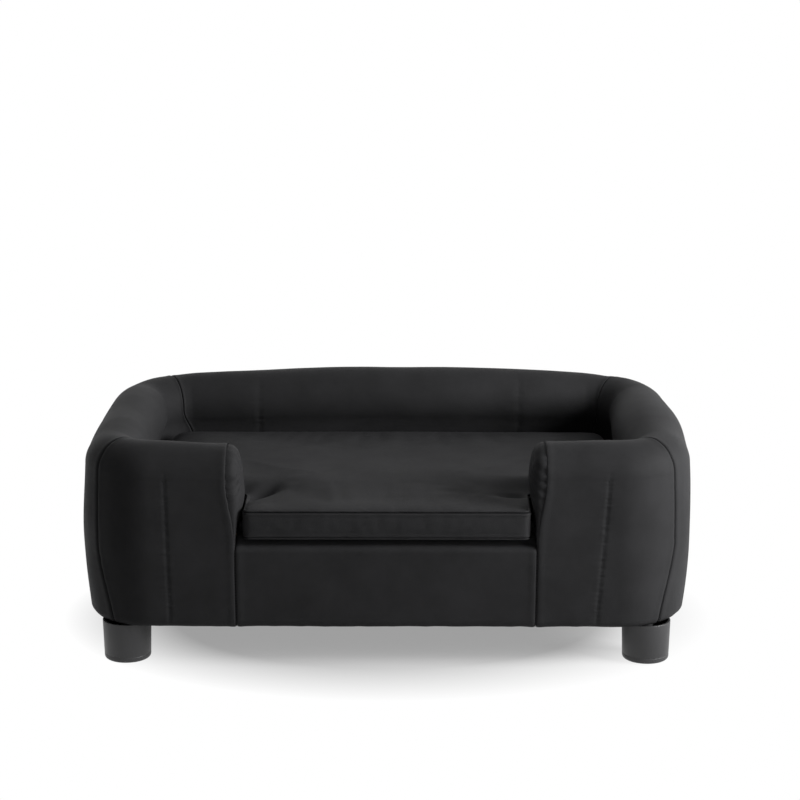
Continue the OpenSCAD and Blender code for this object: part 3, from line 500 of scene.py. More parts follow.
def close_at_ends(width, count):
    """Places across a width, close together at both ends."""
    return np.concatenate([EDGE_ROWS, np.linspace(11, width - 11, count), width - EDGE_ROWS[::-1]])


def between(a, b, line, step):
    """Rows of lengths from seam a to seam b, close together beside the seams."""
    outside = line[:, 0] < ROLL_C
    start, end = a(line[:, 1], outside) + 0 * line[:, 0], b(line[:, 1], outside) + 0 * line[:, 0]
    width = float(np.mean(end - start))
    return start + (end - start) * (close_at_ends(width, int(width / step)) / width)[:, None]


# How far a cover's edge sinks into its seam, and the row beside the edge
TUCK = (1.4, 0.5)


def wall_piece(name, a, b, node, along, across):
    """Cover panel between two seams, with its edges turned in."""
    line = profile(step=across)
    run = line_run(line)
    s = between(a, b, line, along)
    points = wall_shape(s, line, np.tile(run, (len(s), 1)))
    # both edges turn into the seam; the allowance is deeper where an arm stands beside the apron
    tuck = []
    for edge, beside, seam in ((0, 1, a), (-1, -2, b)):
        across_seam = seam(line[:, 1], line[:, 0] < ROLL_C) + np.array([-1.5, 0, 1.5])[:, None]
        inward = -normals_of(wall_shape(across_seam, line, np.tile(run, (3, 1))))[1]
        points[edge] += inward * TUCK[0]
        points[beside] += inward * TUCK[1]
        deep = np.where((seam in (SEAMS[0], SEAMS[5])) & (line[:, 1] < 211), 26.0, 5.0)[:, None]
        tuck.append(points[edge] + inward * deep + units(points[edge] - points[beside]) * 1.1)
    piece = grid_piece(name, np.concatenate([tuck[0][None], points, tuck[1][None]]))
    dress(piece, "sofa", LEATHER, (node,), CLOTH)


wall_piece("wall_front_right", SEAMS[0], SEAMS[1], "cover_front_right", 2.6, 1.7)
wall_piece("wall_side_right", SEAMS[1], SEAMS[2], "cover_side_right", 5.0, 2.3)
wall_piece("wall_back", SEAMS[2], SEAMS[3], "cover_back", 4.4, 2.6)
wall_piece("wall_side_left", SEAMS[3], SEAMS[4], "cover_side_left", 5.0, 2.3)
wall_piece("wall_front_left", SEAMS[4], SEAMS[5], "cover_front_left", 2.6, 1.7)


def thread(name, places, ways, outs, length, radius, body="sofa", material=THREAD, slot="black_leather",
           nodes=()):
    """One piece of many short stitches or teeth, each lying along its way on the skin."""
    t = np.linspace(-1, 1, 7)
    a = np.linspace(0, 2 * math.pi, 6, endpoint=False)
    fat = radius * np.sqrt(np.clip(1 - np.abs(t) ** 3.2, 0.02, 1))
    ways, outs = (np.broadcast_to(v, places.shape) for v in (ways, outs))
    verts, faces = [], []
    for p, w, o, c in zip(places, ways, outs, np.cross(outs, ways)):
        ring = (p + w * (t * length / 2)[:, None])[:, None, :]
        ring = ring - o * (t ** 2)[:, None, None] * radius * 0.8
        ring = ring + fat[:, None, None] * (np.cos(a)[:, None] * c + 0.75 * np.sin(a)[:, None] * o)
        faces += tube_faces(len(t), len(a), len(verts) * len(t) * len(a))
        verts.append(ring.reshape(-1, 3))
    dress(object_from(name, np.concatenate(verts), faces), body, material, nodes)


FINE = profile(step=1.0)
FINE_RUN = line_run(FINE)


def on_seam(seam, spots, reach):
    """Places beside, on and beyond a seam, and their outward directions, at the given runs."""
    p, z = (np.interp(spots, FINE_RUN, FINE[:, k]) for k in (0, 1))
    s = seam(z, p < ROLL_C) + np.array([[-reach], [0], [reach]])
    pts = wall_shape(s, joined(p, z), np.tile(spots, (3, 1)))
    return pts, normals_of(pts)


# stitches lie across the seams, but along the quilting lines
rows = []
for seam in SEAMS:
    spots = np.arange(22, FINE_RUN[-1] - 12, 4.6)
    pts, n = on_seam(seam, spots, 2.4)
    rows.append(((pts[0] + pts[2]) / 2 - n[1] * 0.55, units(pts[2] - pts[0]), n[1]))
thread("seam_stitches", *map(np.concatenate, zip(*rows)), 3.4, 0.5)
rows = []
for k, quilt in enumerate(QUILTS):
    spots = np.arange(36, 262, 4.2) if k < 2 else np.arange(362, FINE_RUN[-1] - 40, 4.2)
    pts, n = on_seam(quilt, spots, 2.0)
    rows.append((pts[1] - n[1] * 0.12, units(np.gradient(pts[1], axis=0)), n[1]))
thread("quilting_stitches", *map(np.concatenate, zip(*rows)), 3.1, 0.5)

# How far the foam lies under the cover's face, and its slot for the board, as inset and height
UNDER = 1.5
BOARD_OUT, BOARD_IN, BOARD_LOW, BOARD_HIGH = 22.2, 33.8, 66.1, 300.8
SLOT = np.array([[BOARD_IN, DECK], [BOARD_IN, BOARD_HIGH], [BOARD_OUT, BOARD_HIGH], [BOARD_OUT, BOARD_LOW]])


def solid_of(name, loops, material, nodes, body="sofa"):
    """Closed solid through loops of points, with its two ends capped."""
    piece = object_from(name, loops.reshape(-1, 3), tube_faces(*loops.shape[:2]))
    dress(piece, body, material, nodes, 0, (0, 0, 0))


def foam_piece(name, start, end, node):
    """Foam block of the wall: the cover's shape less its cloth, with a slot for the board."""
    s = np.linspace(start, end, max(6, int((end - start) / 9)))
    rows = wall_shape(s[:, None] + 0 * RUN[None, :], LINE, np.tile(RUN, (len(s), 1)))
    depth = UNDER + 0 * rows[..., 0]
    for seam in SEAMS + QUILTS:
        depth += 3.6 * bell(s[:, None] - seam(LINE[:, 1], OUTSIDE)[None, :], 13)
    rows = (rows - normals_of(rows) * depth[..., None])[:, 4::2]
    x, y, nx, ny = station(s[:, None])
    slot = joined(x + nx * SLOT[:, 0], y + ny * SLOT[:, 0], SLOT[:, 1])
    solid_of(name, np.concatenate([rows, slot], 1), FOAM, (node,))


for side, flip in (("right", False), ("left", True)):
    for name, start, end in (("front", 14.2, CUTS[1] - GAP), ("corner_front", CUTS[1], CUTS[2]),
                             ("side", CUTS[2] + GAP, CUTS[3] - GAP), ("corner_rear", CUTS[3], CUTS[4])):
        a, b = (2 * HALF - end, 2 * HALF - start) if flip else (start, end)
        foam_piece(f"filling_{name}_{side}", a, b, f"foam_{name}_{side}")
foam_piece("filling_back", CUTS[4] + GAP, 2 * HALF - CUTS[4] - GAP, "foam_back")

# ---------------------------------------------------------------- arm ends, apron and cloths

END_C = np.array([ROLL_C - ROLL_IN, ROLL_Z - ROLL / 2])
# Slanting creases where the cover turns over the end of the roll: height, slope and size
CREASES = [(326, 0.5, 1.0), (313, 0.6, 1.7), (301, 0.65, 1.9), (289, 0.75, 1.5), (275, 0.9, 0.8)]


def end_outline():
    """Closed outline of an arm's end, from its foot over the roll and back along the inside."""
    line = profile(3.6, False, FOOT)
    line = line[line[:, 1] >= FOOT]
    first = np.array([[float(face_inset(np.array(FOOT))), FOOT]])
    line = np.concatenate([first, line])
    foot = np.linspace(line[-1], line[0], 24)[1:-1]
    return np.concatenate([line, foot])


def arm_end(side):
    name = "right" if side > 0 else "left"
    line = end_outline()
    run = line_run(line)
    shares = np.concatenate([[1, 0.985, 0.965, 0.94, 0.91, 0.875], np.linspace(0.84, 0.04, 26)])
    rings = []
    for share in shares:
        q = END_C + (line - END_C) * share
        z = q[:, 1]
        swell = 1.5 + (21.5 * ease((z - FOOT) / 85) ** 1.3 if side > 0 else 20.5 * ease((z - FOOT) / 72))
        dome = np.sqrt(1 - share ** 3.4)
        rings.append(joined(ARM + arm_line(z) - swell * dome - 0.15, -DEPTH / 2 + q[:, 0], z))
    points = np.stack(rings)
    n = normals_of(points, True)
    n *= np.sign(-n[..., :1].mean())
    n[-3:] = units(n[-4].mean(0))
    reach = (1 - shares)[:, None] * 60
    seed = 3 if side > 0 else 4
    push = -0.9 * bell(reach, 1.8) + 0.5 * bell(reach - 8, 5)
    push = push + 1.1 * fade(reach, 22) * crumple(reach, run[None, :] + 40 * seed, seed)
    inset, z = points[..., 1] + DEPTH / 2, points[..., 2]
    strong = (1 if side > 0 else 0.45) * bell(inset - 16, 26)
    for level, slope, size in CREASES:
        off = z - level - slope * (inset - 22)
        push = push + strong * size * (0.7 * bell(off - 7, 4) - bell(off, 2.8))
    points = points + n * push[..., None]
    tip = points[-1].mean(0)
    points[..., 0] *= side
    tip[0] *= side
    points = sag_arm(points)
    tip = sag_arm(tip[None, :])[0]
    rows, cols = points.shape[:2]
    last = (rows - 1) * cols
    faces = grid_faces(rows, cols, True)
    faces += [[last + (i + 1) % cols, last + i, rows * cols] for i in range(cols)]
    # a lip turned in at the seam
    lip = points[0].copy()
    lip[:, 0] += side * 5.0
    centre = np.array([-DEPTH / 2 + END_C[0], END_C[1]])
    lip[:, 1:] += units(centre - lip[:, 1:]) * 1.2
    start = rows * cols + 1
    faces += [[i, (i + 1) % cols, start + (i + 1) % cols, start + i] for i in range(cols)]
    verts = np.concatenate([points.reshape(-1, 3), tip[None, :], lip])
    piece = object_from(f"arm_end_{name}", verts, faces)
    dress(piece, "sofa", LEATHER, (f"arm_end_cover_{name}",), 1.0,
          (side * 300, *centre))
    inner = points + np.array([side * 1.4, 0, 0])
    inner[..., 1:] = centre + (inner[..., 1:] - centre) * 0.975
    back = inner[0].copy()
    back[:, 0] = side * 243.7
    loops = np.concatenate([inner[::-1], back[None]])
    solid_of(f"filling_arm_end_{name}", loops, FOAM, (f"arm_end_pad_{name}",))


arm_end(1)
arm_end(-1)

APRON_EDGE, APRON_REACH, APRON_SILL = 10.0, 46.0, 198.5
APRON_TOP = DECK + CLOTH


def apron_line():
    """The apron's outline as inset and height, from the hem over its sill to the deck."""
    bend = APRON_SILL - APRON_EDGE
    turn = float(face_inset(np.array(bend))) + APRON_EDGE
    z = np.linspace(EDGE_Z, bend, 36)
    x = np.concatenate([np.linspace(turn, 22.0, 9)[1:], np.linspace(22.0, APRON_REACH, 8)[1:]])
    sill = joined(x, mix(APRON_SILL, APRON_TOP, ease((x - turn) / (21.5 - turn))))
    return np.concatenate([*LOWER_EDGE, joined(face_inset(z), z)[:-1],
                           arc(turn, bend, APRON_EDGE, 180, 90, 9), sill])


line = apron_line()
run = line_run(line)
x = (close_at_ends(2 * ARM, 130) - ARM)[:, None] + 0 * run
points = joined(x, -DEPTH / 2 + line[:, 0], line[:, 1])
normal = normals_of(points)
v = np.tile(run, (len(x), 1))
# its bulges run on from those of the arms on both sides
across = ease((x + ARM) / (2 * ARM))
push = hem_push(v, x) + seam_push(x + ARM, v, 5, *ARM_GROOVE) + seam_push(x - ARM, v, 0, *ARM_GROOVE)
for pitch, high, size, seed in ((95, 110, 0.7, 1), (34, 46, 0.35, 2)):
    near_left = noise((2 * HALF + x + ARM) / pitch, v / high, seed)
    push += size * mix(near_left, noise((x - ARM) / pitch, v / high, seed), across)
push *= np.clip(v / 20, 0, 1) * np.clip((v[:, -1:] - v - 4) / 24, 0, 1)
points += normal * push[..., None]
for k, drop in zip((0, 1, -1, -2), TUCK * 2):
    points[k] -= normal[k] * drop
inner = (points - normal * UNDER)[7:-7, 4:-6:2]
board = -DEPTH / 2 + BOARD_OUT
inner[..., 1] = np.minimum(inner[..., 1], board - 0.4)
back = np.repeat(inner[:, :1], 2, 1)
back[..., 1:] = [[board, APRON_TOP - UNDER], [board, BOARD_LOW]]
solid_of("filling_apron", np.concatenate([inner, back], 1), FOAM, ("foam_apron",))
# its ends turn in behind the arms' seams in two steps: depth, and way aside
ends = [[points[k] - normal[k] * deep + [out, 0, 0] for deep, out in ((1.3, side * 1.7), (5, side * 3.4))]
        for k, side in ((0, -1), (-1, 1))]
apron = grid_piece("apron", np.stack([*ends[0][::-1], *points, *ends[1]]))
dress(apron, "sofa", LEATHER, ("cover_apron",), CLOTH)


def plan_half(y, inset):
    """Half width of the body's plan at y, at a distance in from the widest line."""
    half = np.full_like(y, WIDTH / 2 - inset)
    front = np.clip((R_FRONT - inset) ** 2 - (np.minimum(y - FY, 0)) ** 2, 0, None)
    rear = np.clip((R_REAR - inset) ** 2 - (np.maximum(y - RY, 0)) ** 2, 0, None)
    half = np.where(y < FY, FX + np.sqrt(front), half)
    return np.where(y > RY, RX + np.sqrt(rear), half)


def sheet_rows(ys, halves, z, cols, bumpy):
    x, y = halves[:, None] * np.linspace(-1, 1, cols), ys[:, None]
    return joined(x, y, z + bumpy * noise(x / 40, y / 55, 5))


def curved(a, b, n):
    return mix(a, b, (1 - np.cos(np.linspace(0, math.pi, n))) / 2)


DECK_Z, EDGE_UP = 207.25, 2.6
DUST_Z, DUST_IN = 64.25, 28
front_edge = -DEPTH / 2 + INNER + 0.2
ys = curved(front_edge, DEPTH / 2 - INNER - 0.2, 70)
main = sheet_rows(ys, plan_half(ys, INNER + 0.2), DECK_Z, 120, 0.2)
# its edges turn up beside the wall
main[-1, :, 2] += EDGE_UP
main[:-1, [0, -1], 2] += EDGE_UP
main[0, np.abs(main[0, :, 0]) > ARM + 2, 2] += EDGE_UP
ys = np.linspace(-DEPTH / 2 + APRON_REACH + 0.4, front_edge - 0.2, 12)
tongue = sheet_rows(ys, np.full_like(ys, ARM + 1.6), DECK_Z, 60, 0.2)
main_size, tongue_size = main.shape[:2], tongue.shape[:2]
faces = grid_faces(*main_size) + grid_faces(*tongue_size, start=main_size[0] * main_size[1])
deck = object_from("deck_cloth", np.concatenate([main.reshape(-1, 3), tongue.reshape(-1, 3)]), faces)
dress(deck, "sofa", BLACK_CLOTH, ("deck_cover",), 0.7, (0, 0, 0))

ys = curved(-DEPTH / 2 + DUST_IN, DEPTH / 2 - DUST_IN, 90)
underside = grid_piece("dust_cloth", sheet_rows(ys, plan_half(ys, DUST_IN), DUST_Z, 130, 0.15))
dress(underside, "sofa", BLACK_CLOTH, ("dust_cover",), 0.4, (0, 0, 200))

# Middles of the legs, along lines at 50.2 degrees from the middles of the body's corners
aslant = np.array([math.cos(math.radians(50.2)), math.sin(math.radians(50.2))])
front_foot, rear_foot = np.array([FX, -FY]) + 73.5 * aslant, np.array([RX, RY]) + 79 * aslant
FEET = {"front_left": front_foot * [-1, -1], "front_right": front_foot * [1, -1],
        "rear_left": rear_foot * [-1, 1], "rear_right": rear_foot}

STAPLE_IN, STAPLE_Z, LEG_CLEAR = 32, 63.85, 43
# staples hold the hem; a place below zero lies under the apron
t = np.concatenate([np.arange(8, 2 * HALF - 8, 24.0), -np.arange(16, 2 * ARM - 8, 24.0)])
x, y, nx, ny = station(np.abs(t))
front = t < 0
x, nx = np.where(front, ARM + t, x), np.where(front, 0, nx)
y, ny = np.where(front, -DEPTH / 2, y), np.where(front, 1, ny)
places = joined(x + nx * STAPLE_IN, y + ny * STAPLE_IN, STAPLE_Z)
clear = np.min([np.hypot(*(places[:, :2] - foot).T) for foot in FEET.values()], 0) > LEG_CLEAR
ways = units(joined(ny, -nx, 0.12 * noise(t / 9, 0 * t, 2)))
thread("staples", places[clear], ways[clear], (0, 0, -1), 9.5, 0.42, "sofa", STEEL, "zinc_steel")


# ---------------------------------------------------------------- the cushion

C_HALF, T_HALF, C_FRONT, C_BACK, SHOULDER = 372.7, 220.5, -284.0, 176.5, -181.0
R_TONGUE, R_NOTCH, R_SHOULDER, R_BACK = 12.0, 14.0, 28.0, 52.0
C_REST, LOW_SEAM, TOP_SEAM, SEAM_RISE, DRAW = 208.0, 212.0, 253.6, 2.4, 3.0
HEART = np.array([0.0, SHOULDER + (C_BACK - SHOULDER) * 0.33])
ZIP_X, ZIP_Z, ZIP_HALF, TAPE_FACE, PIN = -298.0, 232.25, 310.0, 177.4, 181.1


def cushion_outline():
    """The T-shaped outline with its outward directions."""
    step = 4.2
    arcs = [(T_HALF - R_TONGUE, C_FRONT + R_TONGUE, R_TONGUE, -90, 1),
            (T_HALF + R_NOTCH, SHOULDER - R_NOTCH, R_NOTCH, 180, -1),
            (C_HALF - R_SHOULDER, SHOULDER + R_SHOULDER, R_SHOULDER, -90, 1),
            (C_HALF - R_BACK, C_BACK - R_BACK, R_BACK, 0, 1)]
    right = []
    for x, y, r, start, sign in arcs:
        ways = arc(0, 0, 1, start, start + 90 * sign, max(7, int(r * math.pi / 2 / (step * 0.7))))
        right.append(np.concatenate([ways * r + (x, y), ways * sign], 1))
    right = np.concatenate(right)
    ring = np.concatenate([right, right[::-1] * [-1, 1, -1, 1]])
    out = []
    for k in range(len(ring)):
        a, b = ring[k], ring[(k + 1) % len(ring)]
        out.append(a)
        count = int(np.linalg.norm(b[:2] - a[:2]) / step)
        for i in range(1, count):
            out.append(mix(a, b, i / count))
    return np.array(out)


OUT = cushion_outline()
ALONG = line_run(OUT[:, :2])


def inset_ring(inset, z=None):
    """The outline moved in, as places in plan, or in space where heights are given."""
    plan = OUT[:, :2] - OUT[:, 2:] * inset
    return plan if z is None else np.column_stack([plan, z + 0 * plan[:, 0]])


def seam_distance(x, y):
    """Distance in from the cushion's seams, with its creases smoothed."""
    ax = np.abs(x)
    corner = np.hypot(np.maximum(T_HALF - ax, 0), y - SHOULDER)
    tongue = np.where(y < SHOULDER, T_HALF - ax, corner)
    parts = np.stack([tongue, C_HALF - ax, C_BACK - y, y - C_FRONT]) - DRAW
    k = 7.0
    smooth = -k * np.log(np.sum(np.exp(-np.clip(parts, -60, 400) / k), 0))
    return np.clip(smooth, 0, None)


def top_seam(y):
    return TOP_SEAM + SEAM_RISE * ease((y - SHOULDER) / (C_BACK - SHOULDER))


# Dimples where the corners fold: place, direction, length, width, depth, and how soon they start
# at the seam
DIMPLES = [(-193, -188, 0.68, 0.73, 41, 16, 12.5, 5), (198, -198, 0.97, 0.24, 32, 11, 7.5, 6)]


def top_height(x, y, share=1.0):
    """The crowned top; the tongue lies lower than the main part, with a step beside the arms."""
    d = seam_distance(x, y)
    side = np.clip(np.abs(x) / T_HALF, 0, 1)
    right = x > 0
    low = 4.9 + 2.5 * (1 - side ** 2) - 2.0 * right * side ** 2
    middle = np.where(right, mix(-172, -156, side ** 1.6), mix(-172, -177, side ** 2))
    half = np.where(right, mix(62, 17, side ** 1.2), mix(62, 11, ease((side - 0.35) / 0.5)))
    crown = mix(low, 20.0, ease((y - middle + half) / (2 * half)))
    z = top_seam(y) + share * crown * (1 - 0.16 * fade(d, 2.4) - 0.84 * fade(d, 20))
    for px, py, wx, wy, long, wide, deep, reach in DIMPLES:
        u, v = (x - px) * wx + (y - py) * wy, (y - py) * wx - (x - px) * wy
        z = z - deep * bell(u, long) * bell(v, wide) * (1 - fade(d, reach))
    return z + (1.2 * noise(x / 130, y / 110, 6) + 0.45 * noise(x / 48, y / 52, 7)) * (1 - fade(d, 18))


def tree_of(points):
    """Tree that finds the nearest of some points of a plan."""
    tree = KDTree(len(points))
    for k, p in enumerate(points):
        tree.insert((*p, 0), k)
    tree.balance()
    return tree


def panel(insets, pitch):
    """Plan of a panel, as rings along the seam and a net inside, and its distances from the outline."""
    edge = np.concatenate([inset_ring(i) for i in insets])
    n, last = len(OUT), len(insets) - 1
    gx, gy = np.meshgrid(np.arange(-C_HALF, C_HALF, pitch), np.arange(C_FRONT, C_BACK, pitch * 0.866))
    gx = gx + np.where(np.arange(len(gy)) % 2, pitch / 2, 0)[:, None]
    ring = edge[last * n:]
    tree = tree_of(ring)
    kept = []
    for p in joined(gx.ravel(), gy.ravel()):
        k, far = tree.find((*p, 0))[1:]
        if (p - ring[k]) @ OUT[k, 2:] < 0 and far > pitch * 0.6:
            kept.append(p)
    inner = np.concatenate([ring, kept])
    loop = [(k, (k + 1) % n) for k in range(n)]
    triangles, origin = delaunay_2d_cdt([Vector(p) for p in inner], loop, [], 1, 1e-5)[2:4]
    plan = np.concatenate([edge, kept])
    reach = np.concatenate([np.repeat(insets, n), [insets[-1] + tree.find((*p, 0))[2] for p in kept]])
    faces = grid_faces(last + 1, n, True)
    faces += [[last * n + origin[k][0] for k in reversed(t)] for t in triangles]
    return plan, reach, faces


# the fold of the top panel over its seam: distance in from the outline, and height above the seam
FOLD = [(6.4, -2.3), (4.8, -2.2), (3.6, -1.9), (2.8, -1.2), (2.5, -0.3), (2.8, 0.5), (3.6, 1.1)]
RINGS = [5.0, 6.4, 8.0, 9.8]
rings = [inset_ring(DRAW + i) for i in (0, 0.4, 0.9, 1.6, 2.5, 3.6, 4.9, 6.3, 7.8)]
rings += [HEART + (rings[-1] - HEART) * s for s in np.linspace(0.97, 0.03, 34)]
rings = np.stack(rings)
low_levels = np.array([0, 0.012, 0.03, 0.06, 0.1])
levels = np.concatenate([low_levels, np.linspace(0.16, 0.84, 15), (1 - low_levels)[::-1]])


def places_of(data):
    places = np.empty(len(data.vertices) * 3)
    data.vertices.foreach_get("co", places)
    return places.reshape(-1, 3) / MM


def swell_cushion():
    """Fills a slack cloth copy of the cushion with air, and returns its swollen skin to cast against."""
    seam_z = top_seam(OUT[:, 1])
    wall = np.stack([inset_ring(DRAW, mix(LOW_SEAM, seam_z, t)) for t in np.linspace(0, 1, 6)])
    x, y = rings[..., 0], rings[..., 1]
    lid, floor = joined(x, y, top_height(x, y, START))[1::3], joined(x, y, C_REST + 1.0)[::-3]
    loops = np.concatenate([floor, wall, lid])
    faces = tube_faces(*loops.shape[:2])
    # its caps face inward, since the swell was set with them so
    faces[-2:] = [cap[::-1] for cap in faces[-2:]]
    blank = object_from("blank", loops.reshape(-1, 3), faces)
    remesh = blank.modifiers.new("remesh", "REMESH")
    remesh.mode, remesh.voxel_size = "VOXEL", 5.5 * MM
    graph = bpy.context.evaluated_depsgraph_get()
    data = bpy.data.meshes.new_from_object(blank.evaluated_get(graph))
    pad = bpy.data.objects.new("pad", data)
    bpy.context.scene.collection.objects.link(pad)
    bpy.data.objects.remove(blank)
    start = places_of(data)
    seam = np.concatenate([inset_ring(DRAW, seam_z), inset_ring(DRAW, LOW_SEAM)])
    near = np.array([np.min(np.sum((seam - p) ** 2, 1)) for p in start]) < 4.6 ** 2
    held = pad.vertex_groups.new(name="held")
    held.add(np.nonzero(near | (start[:, 2] < LOW_SEAM - 1))[0].tolist(), 1.0, "REPLACE")
    cloth = pad.modifiers.new("cloth", "CLOTH")
    settings = cloth.settings
    settings.quality, settings.mass = 6, 0.4
    settings.tension_stiffness = settings.compression_stiffness = 22
    settings.shear_stiffness, settings.bending_stiffness = 9, 4.0
    settings.use_pressure, settings.uniform_pressure_force = True, 4
    settings.shrink_min = -0.007
    settings.vertex_group_mass = "held"
    settings.effector_weights.gravity = 0
    cloth.point_cache.frame_start, cloth.point_cache.frame_end = 1, 20
    for frame_number in range(1, 21):
        bpy.context.scene.frame_set(frame_number)
    move = places_of(pad.evaluated_get(bpy.context.evaluated_depsgraph_get()).to_mesh()) - start
    far = np.linalg.norm(move, axis=1, keepdims=True)
    print("cushion swells by", round(float(far.max()), 1), "mm, mean", round(float(far.mean()), 1))
    end = start + move * np.minimum(1, 10 / np.maximum(far, 1e-6))
    tree = BVHTree.FromPolygons(end.tolist(), [list(p.vertices) for p in data.polygons])
    bpy.context.scene.frame_set(1)
    bpy.data.objects.remove(pad)
    return tree


START, SWELL_SHARE = 0.8, 0.6
SWOLLEN = swell_cushion()


def cast(points, way, reach, fallback):
    """Distance from each point along its way to the swollen skin, or the fallback where none is."""
    found = fallback.copy()
    for k, (p, w) in enumerate(zip(points, way)):
        hit = SWOLLEN.ray_cast(Vector(p), Vector(w), reach)[3]
        if hit is not None:
            found[k] = hit
    return found


def cushion_top_height(x, y, reach, along):
    z = top_height(x, y)
    if SWOLLEN is not None:
        above = joined(x, y, 330.0)
        skin = 330 - cast(above, np.tile([0, 0, -1.0], (len(x), 1)), 120, 330 - z)
        notch = bell(np.hypot(np.abs(x) - T_HALF, y - SHOULDER), 62)
        z = mix(z, skin, SWELL_SHARE * ease((reach - 10) / 55) * (1 - notch))
    return z + 0.7 * fade(reach, 18) * crumple(reach, along, 2) * (1 - bell(reach, 1.5))


count, seam_top = len(OUT), top_seam(OUT[:, 1])
plan, reach, top_faces = panel([i for i, _ in FOLD] + RINGS, 4.6)
reach = np.clip(reach - DRAW, 0, None)
seam_tree = tree_of(OUT[:, :2])
ringed = len(FOLD) + len(RINGS)
along = np.concatenate([np.tile(ALONG, ringed),
                        [ALONG[seam_tree.find((*p, 0))[1]] for p in plan[count * ringed:]]])
top = np.column_stack([plan, cushion_top_height(plan[:, 0], plan[:, 1], reach, along)])
for k, (_, above) in enumerate(FOLD):
    top[k * count:(k + 1) * count, 2] = seam_top + above + 0.25 * noise(ALONG / 9, 0 * ALONG, 4)

boxing = []
behind_zip = (OUT[:, 3] > 0.99) & (OUT[:, 1] > 0) & (np.abs(OUT[:, 0]) < ZIP_HALF + 8)
for t in levels:
    z_here = mix(LOW_SEAM + 0.2, seam_top - 2.5, t)
    from_top, from_low = seam_top - 2.3 - z_here, z_here - LOW_SEAM
    off = abs(2 * t - 1)
    out = -DRAW * off ** 2.6 + 0 * seam_top
    if SWOLLEN is not None:
        far = cast(inset_ring(-30, z_here), np.column_stack([-OUT[:, 2:], 0 * seam_top]), 60, 30 - out)
        out = mix(out, np.clip(30 - far, -DRAW - 1, 1.2), 0.3 * (1 - off ** 4))
    # folds beside the seams catch the light
    out = out + 1.7 * bell(from_top - 2.2, 2.2) + 1.1 * bell(from_low - 2.4, 2.0)
    out = out - 2.6 * np.clip(1 - from_top / 1.4, 0, 1) ** 2
    out = out + 0.5 * noise(ALONG / 60, t * 2 + 0 * ALONG, 3) * (1 - off ** 3)
    out = out + 0.5 * (np.exp(-from_top / 11) * noise(ALONG / 8.5, from_top / 30, 1)
                       + fade(from_low, 11) * noise(ALONG / 9.5, from_low / 30, 2))
    out = np.where(behind_zip & (np.abs(z_here - ZIP_Z) < 9.5), 0.1, np.minimum(out, 1.6))
    boxing.append(inset_ring(-out[:, None], z_here))
boxing = np.stack(boxing)

# the lower panel shows as a narrow rounded edge under the seam
low = [(3.4, 211.8), (2.5, 211.2), (2.1, 210.4), (2.4, 209.5), (3.4, 208.8), (5.5, 208.4), (9, 208.2)]
plan, reach, low_faces = panel([i for i, _ in low], 9.0)
z = np.repeat([h for _, h in low], count)
z = np.concatenate([z, np.full(len(plan) - len(z), C_REST + 0.15)])
bottom = np.column_stack([plan, z + 0.12 * np.abs(noise(plan[:, 0] / 60, plan[:, 1] / 60, 2))])


def leaned(points):
    """The tongue sits a little to the right."""
    moved = points.copy()
    moved[..., 0] += 1.5 * (1 - ease((points[..., 1] + 205) / 30))
    return moved


# the edges of the panels turn in at the seams
lip = top[:count].copy()
lip[:, :2] -= OUT[:, 2:] * 1.2
lip[:, 2] -= 1.6
lip_faces = [[len(top) + k, k, (k + 1) % count, len(top) + (k + 1) % count] for k in range(count)]
piece = object_from("cushion_top", leaned(np.concatenate([top, lip])), top_faces + lip_faces)
dress(piece, "cushion", LEATHER, ("cushion_top_panel",), 1.0, (0, -60, 100))
lips = boxing[[0, -1]].copy()
lips[:, :, :2] -= OUT[None, :, 2:] * np.array([1.6, 3.4])[:, None, None]
lips[1, :, 2] -= 2.4
piece = grid_piece("cushion_side", leaned(np.concatenate([lips[:1], boxing, lips[1:]])), True)
dress(piece, "cushion", LEATHER, ("cushion_boxing",), 1.0, (0, -60, 230))
piece = object_from("cushion_base", leaned(bottom), low_faces)
dress(piece, "cushion", LEATHER, ("cushion_bottom_panel",), 1.0, (0, -60, 400))

core_side = boxing[3:-5:2].copy()
core_side[..., :2] -= OUT[None, :, 2:] * 1.5
shoulder = inset_ring(8.5, seam_top - 6.5)[None]
x, y = rings[9:, :, 0], rings[9:, :, 1]
core_reach = np.array([seam_tree.find((*p, 0))[2] - DRAW for p in zip(x.ravel(), y.ravel())])
core_z = cushion_top_height(x.ravel(), y.ravel(), core_reach, x.ravel()).reshape(x.shape)
core_top = joined(x, y, core_z - 3.0)
core_low = joined(x, y, C_REST + 1.7)[::-1]
loops = leaned(np.concatenate([core_low, core_side, shoulder, core_top]))
solid_of("cushion_filling", loops, CUSHION_FOAM, ("cushion_core",), body="cushion")

# ---------------------------------------------------------------- the zip

x = np.linspace(-ZIP_HALF, ZIP_HALF, 250)
strips, faces = [], []
for low_z, high_z in ((-8.0, -0.3), (0.3, 8.0)):
    z = np.linspace(low_z, high_z, 7)
    wave = 0.12 * noise(x[:, None] / 14, z / 5, 3) * (np.abs(z) > 3)
    y = TAPE_FACE - 0.02 + wave - 0.25 * (np.abs(z) > 7)
    faces += grid_faces(len(x), len(z), start=len(strips) * len(x) * len(z))
    strips.append(joined(x[:, None], y, ZIP_Z + z).reshape(-1, 3))
tape = object_from("tape", np.concatenate(strips), faces)
dress(tape, "cushion", TAPE, ("zip_tape",), 0.5, (0, 0, ZIP_Z))
x = np.arange(-ZIP_HALF + 1, ZIP_HALF - 1, 1.7)
zigzag = 0.3 * (-1.0) ** np.arange(len(x))
places = joined(x, TAPE_FACE + 0.75, ZIP_Z + zigzag)
thread("coil", places, (0, 0, 1), (0, 1, 0), 4.6, 0.78, "cushion", COIL, "zip_plastic", ("zip_coil",))
x = np.arange(-ZIP_HALF + 2, ZIP_HALF - 2, 3.3)
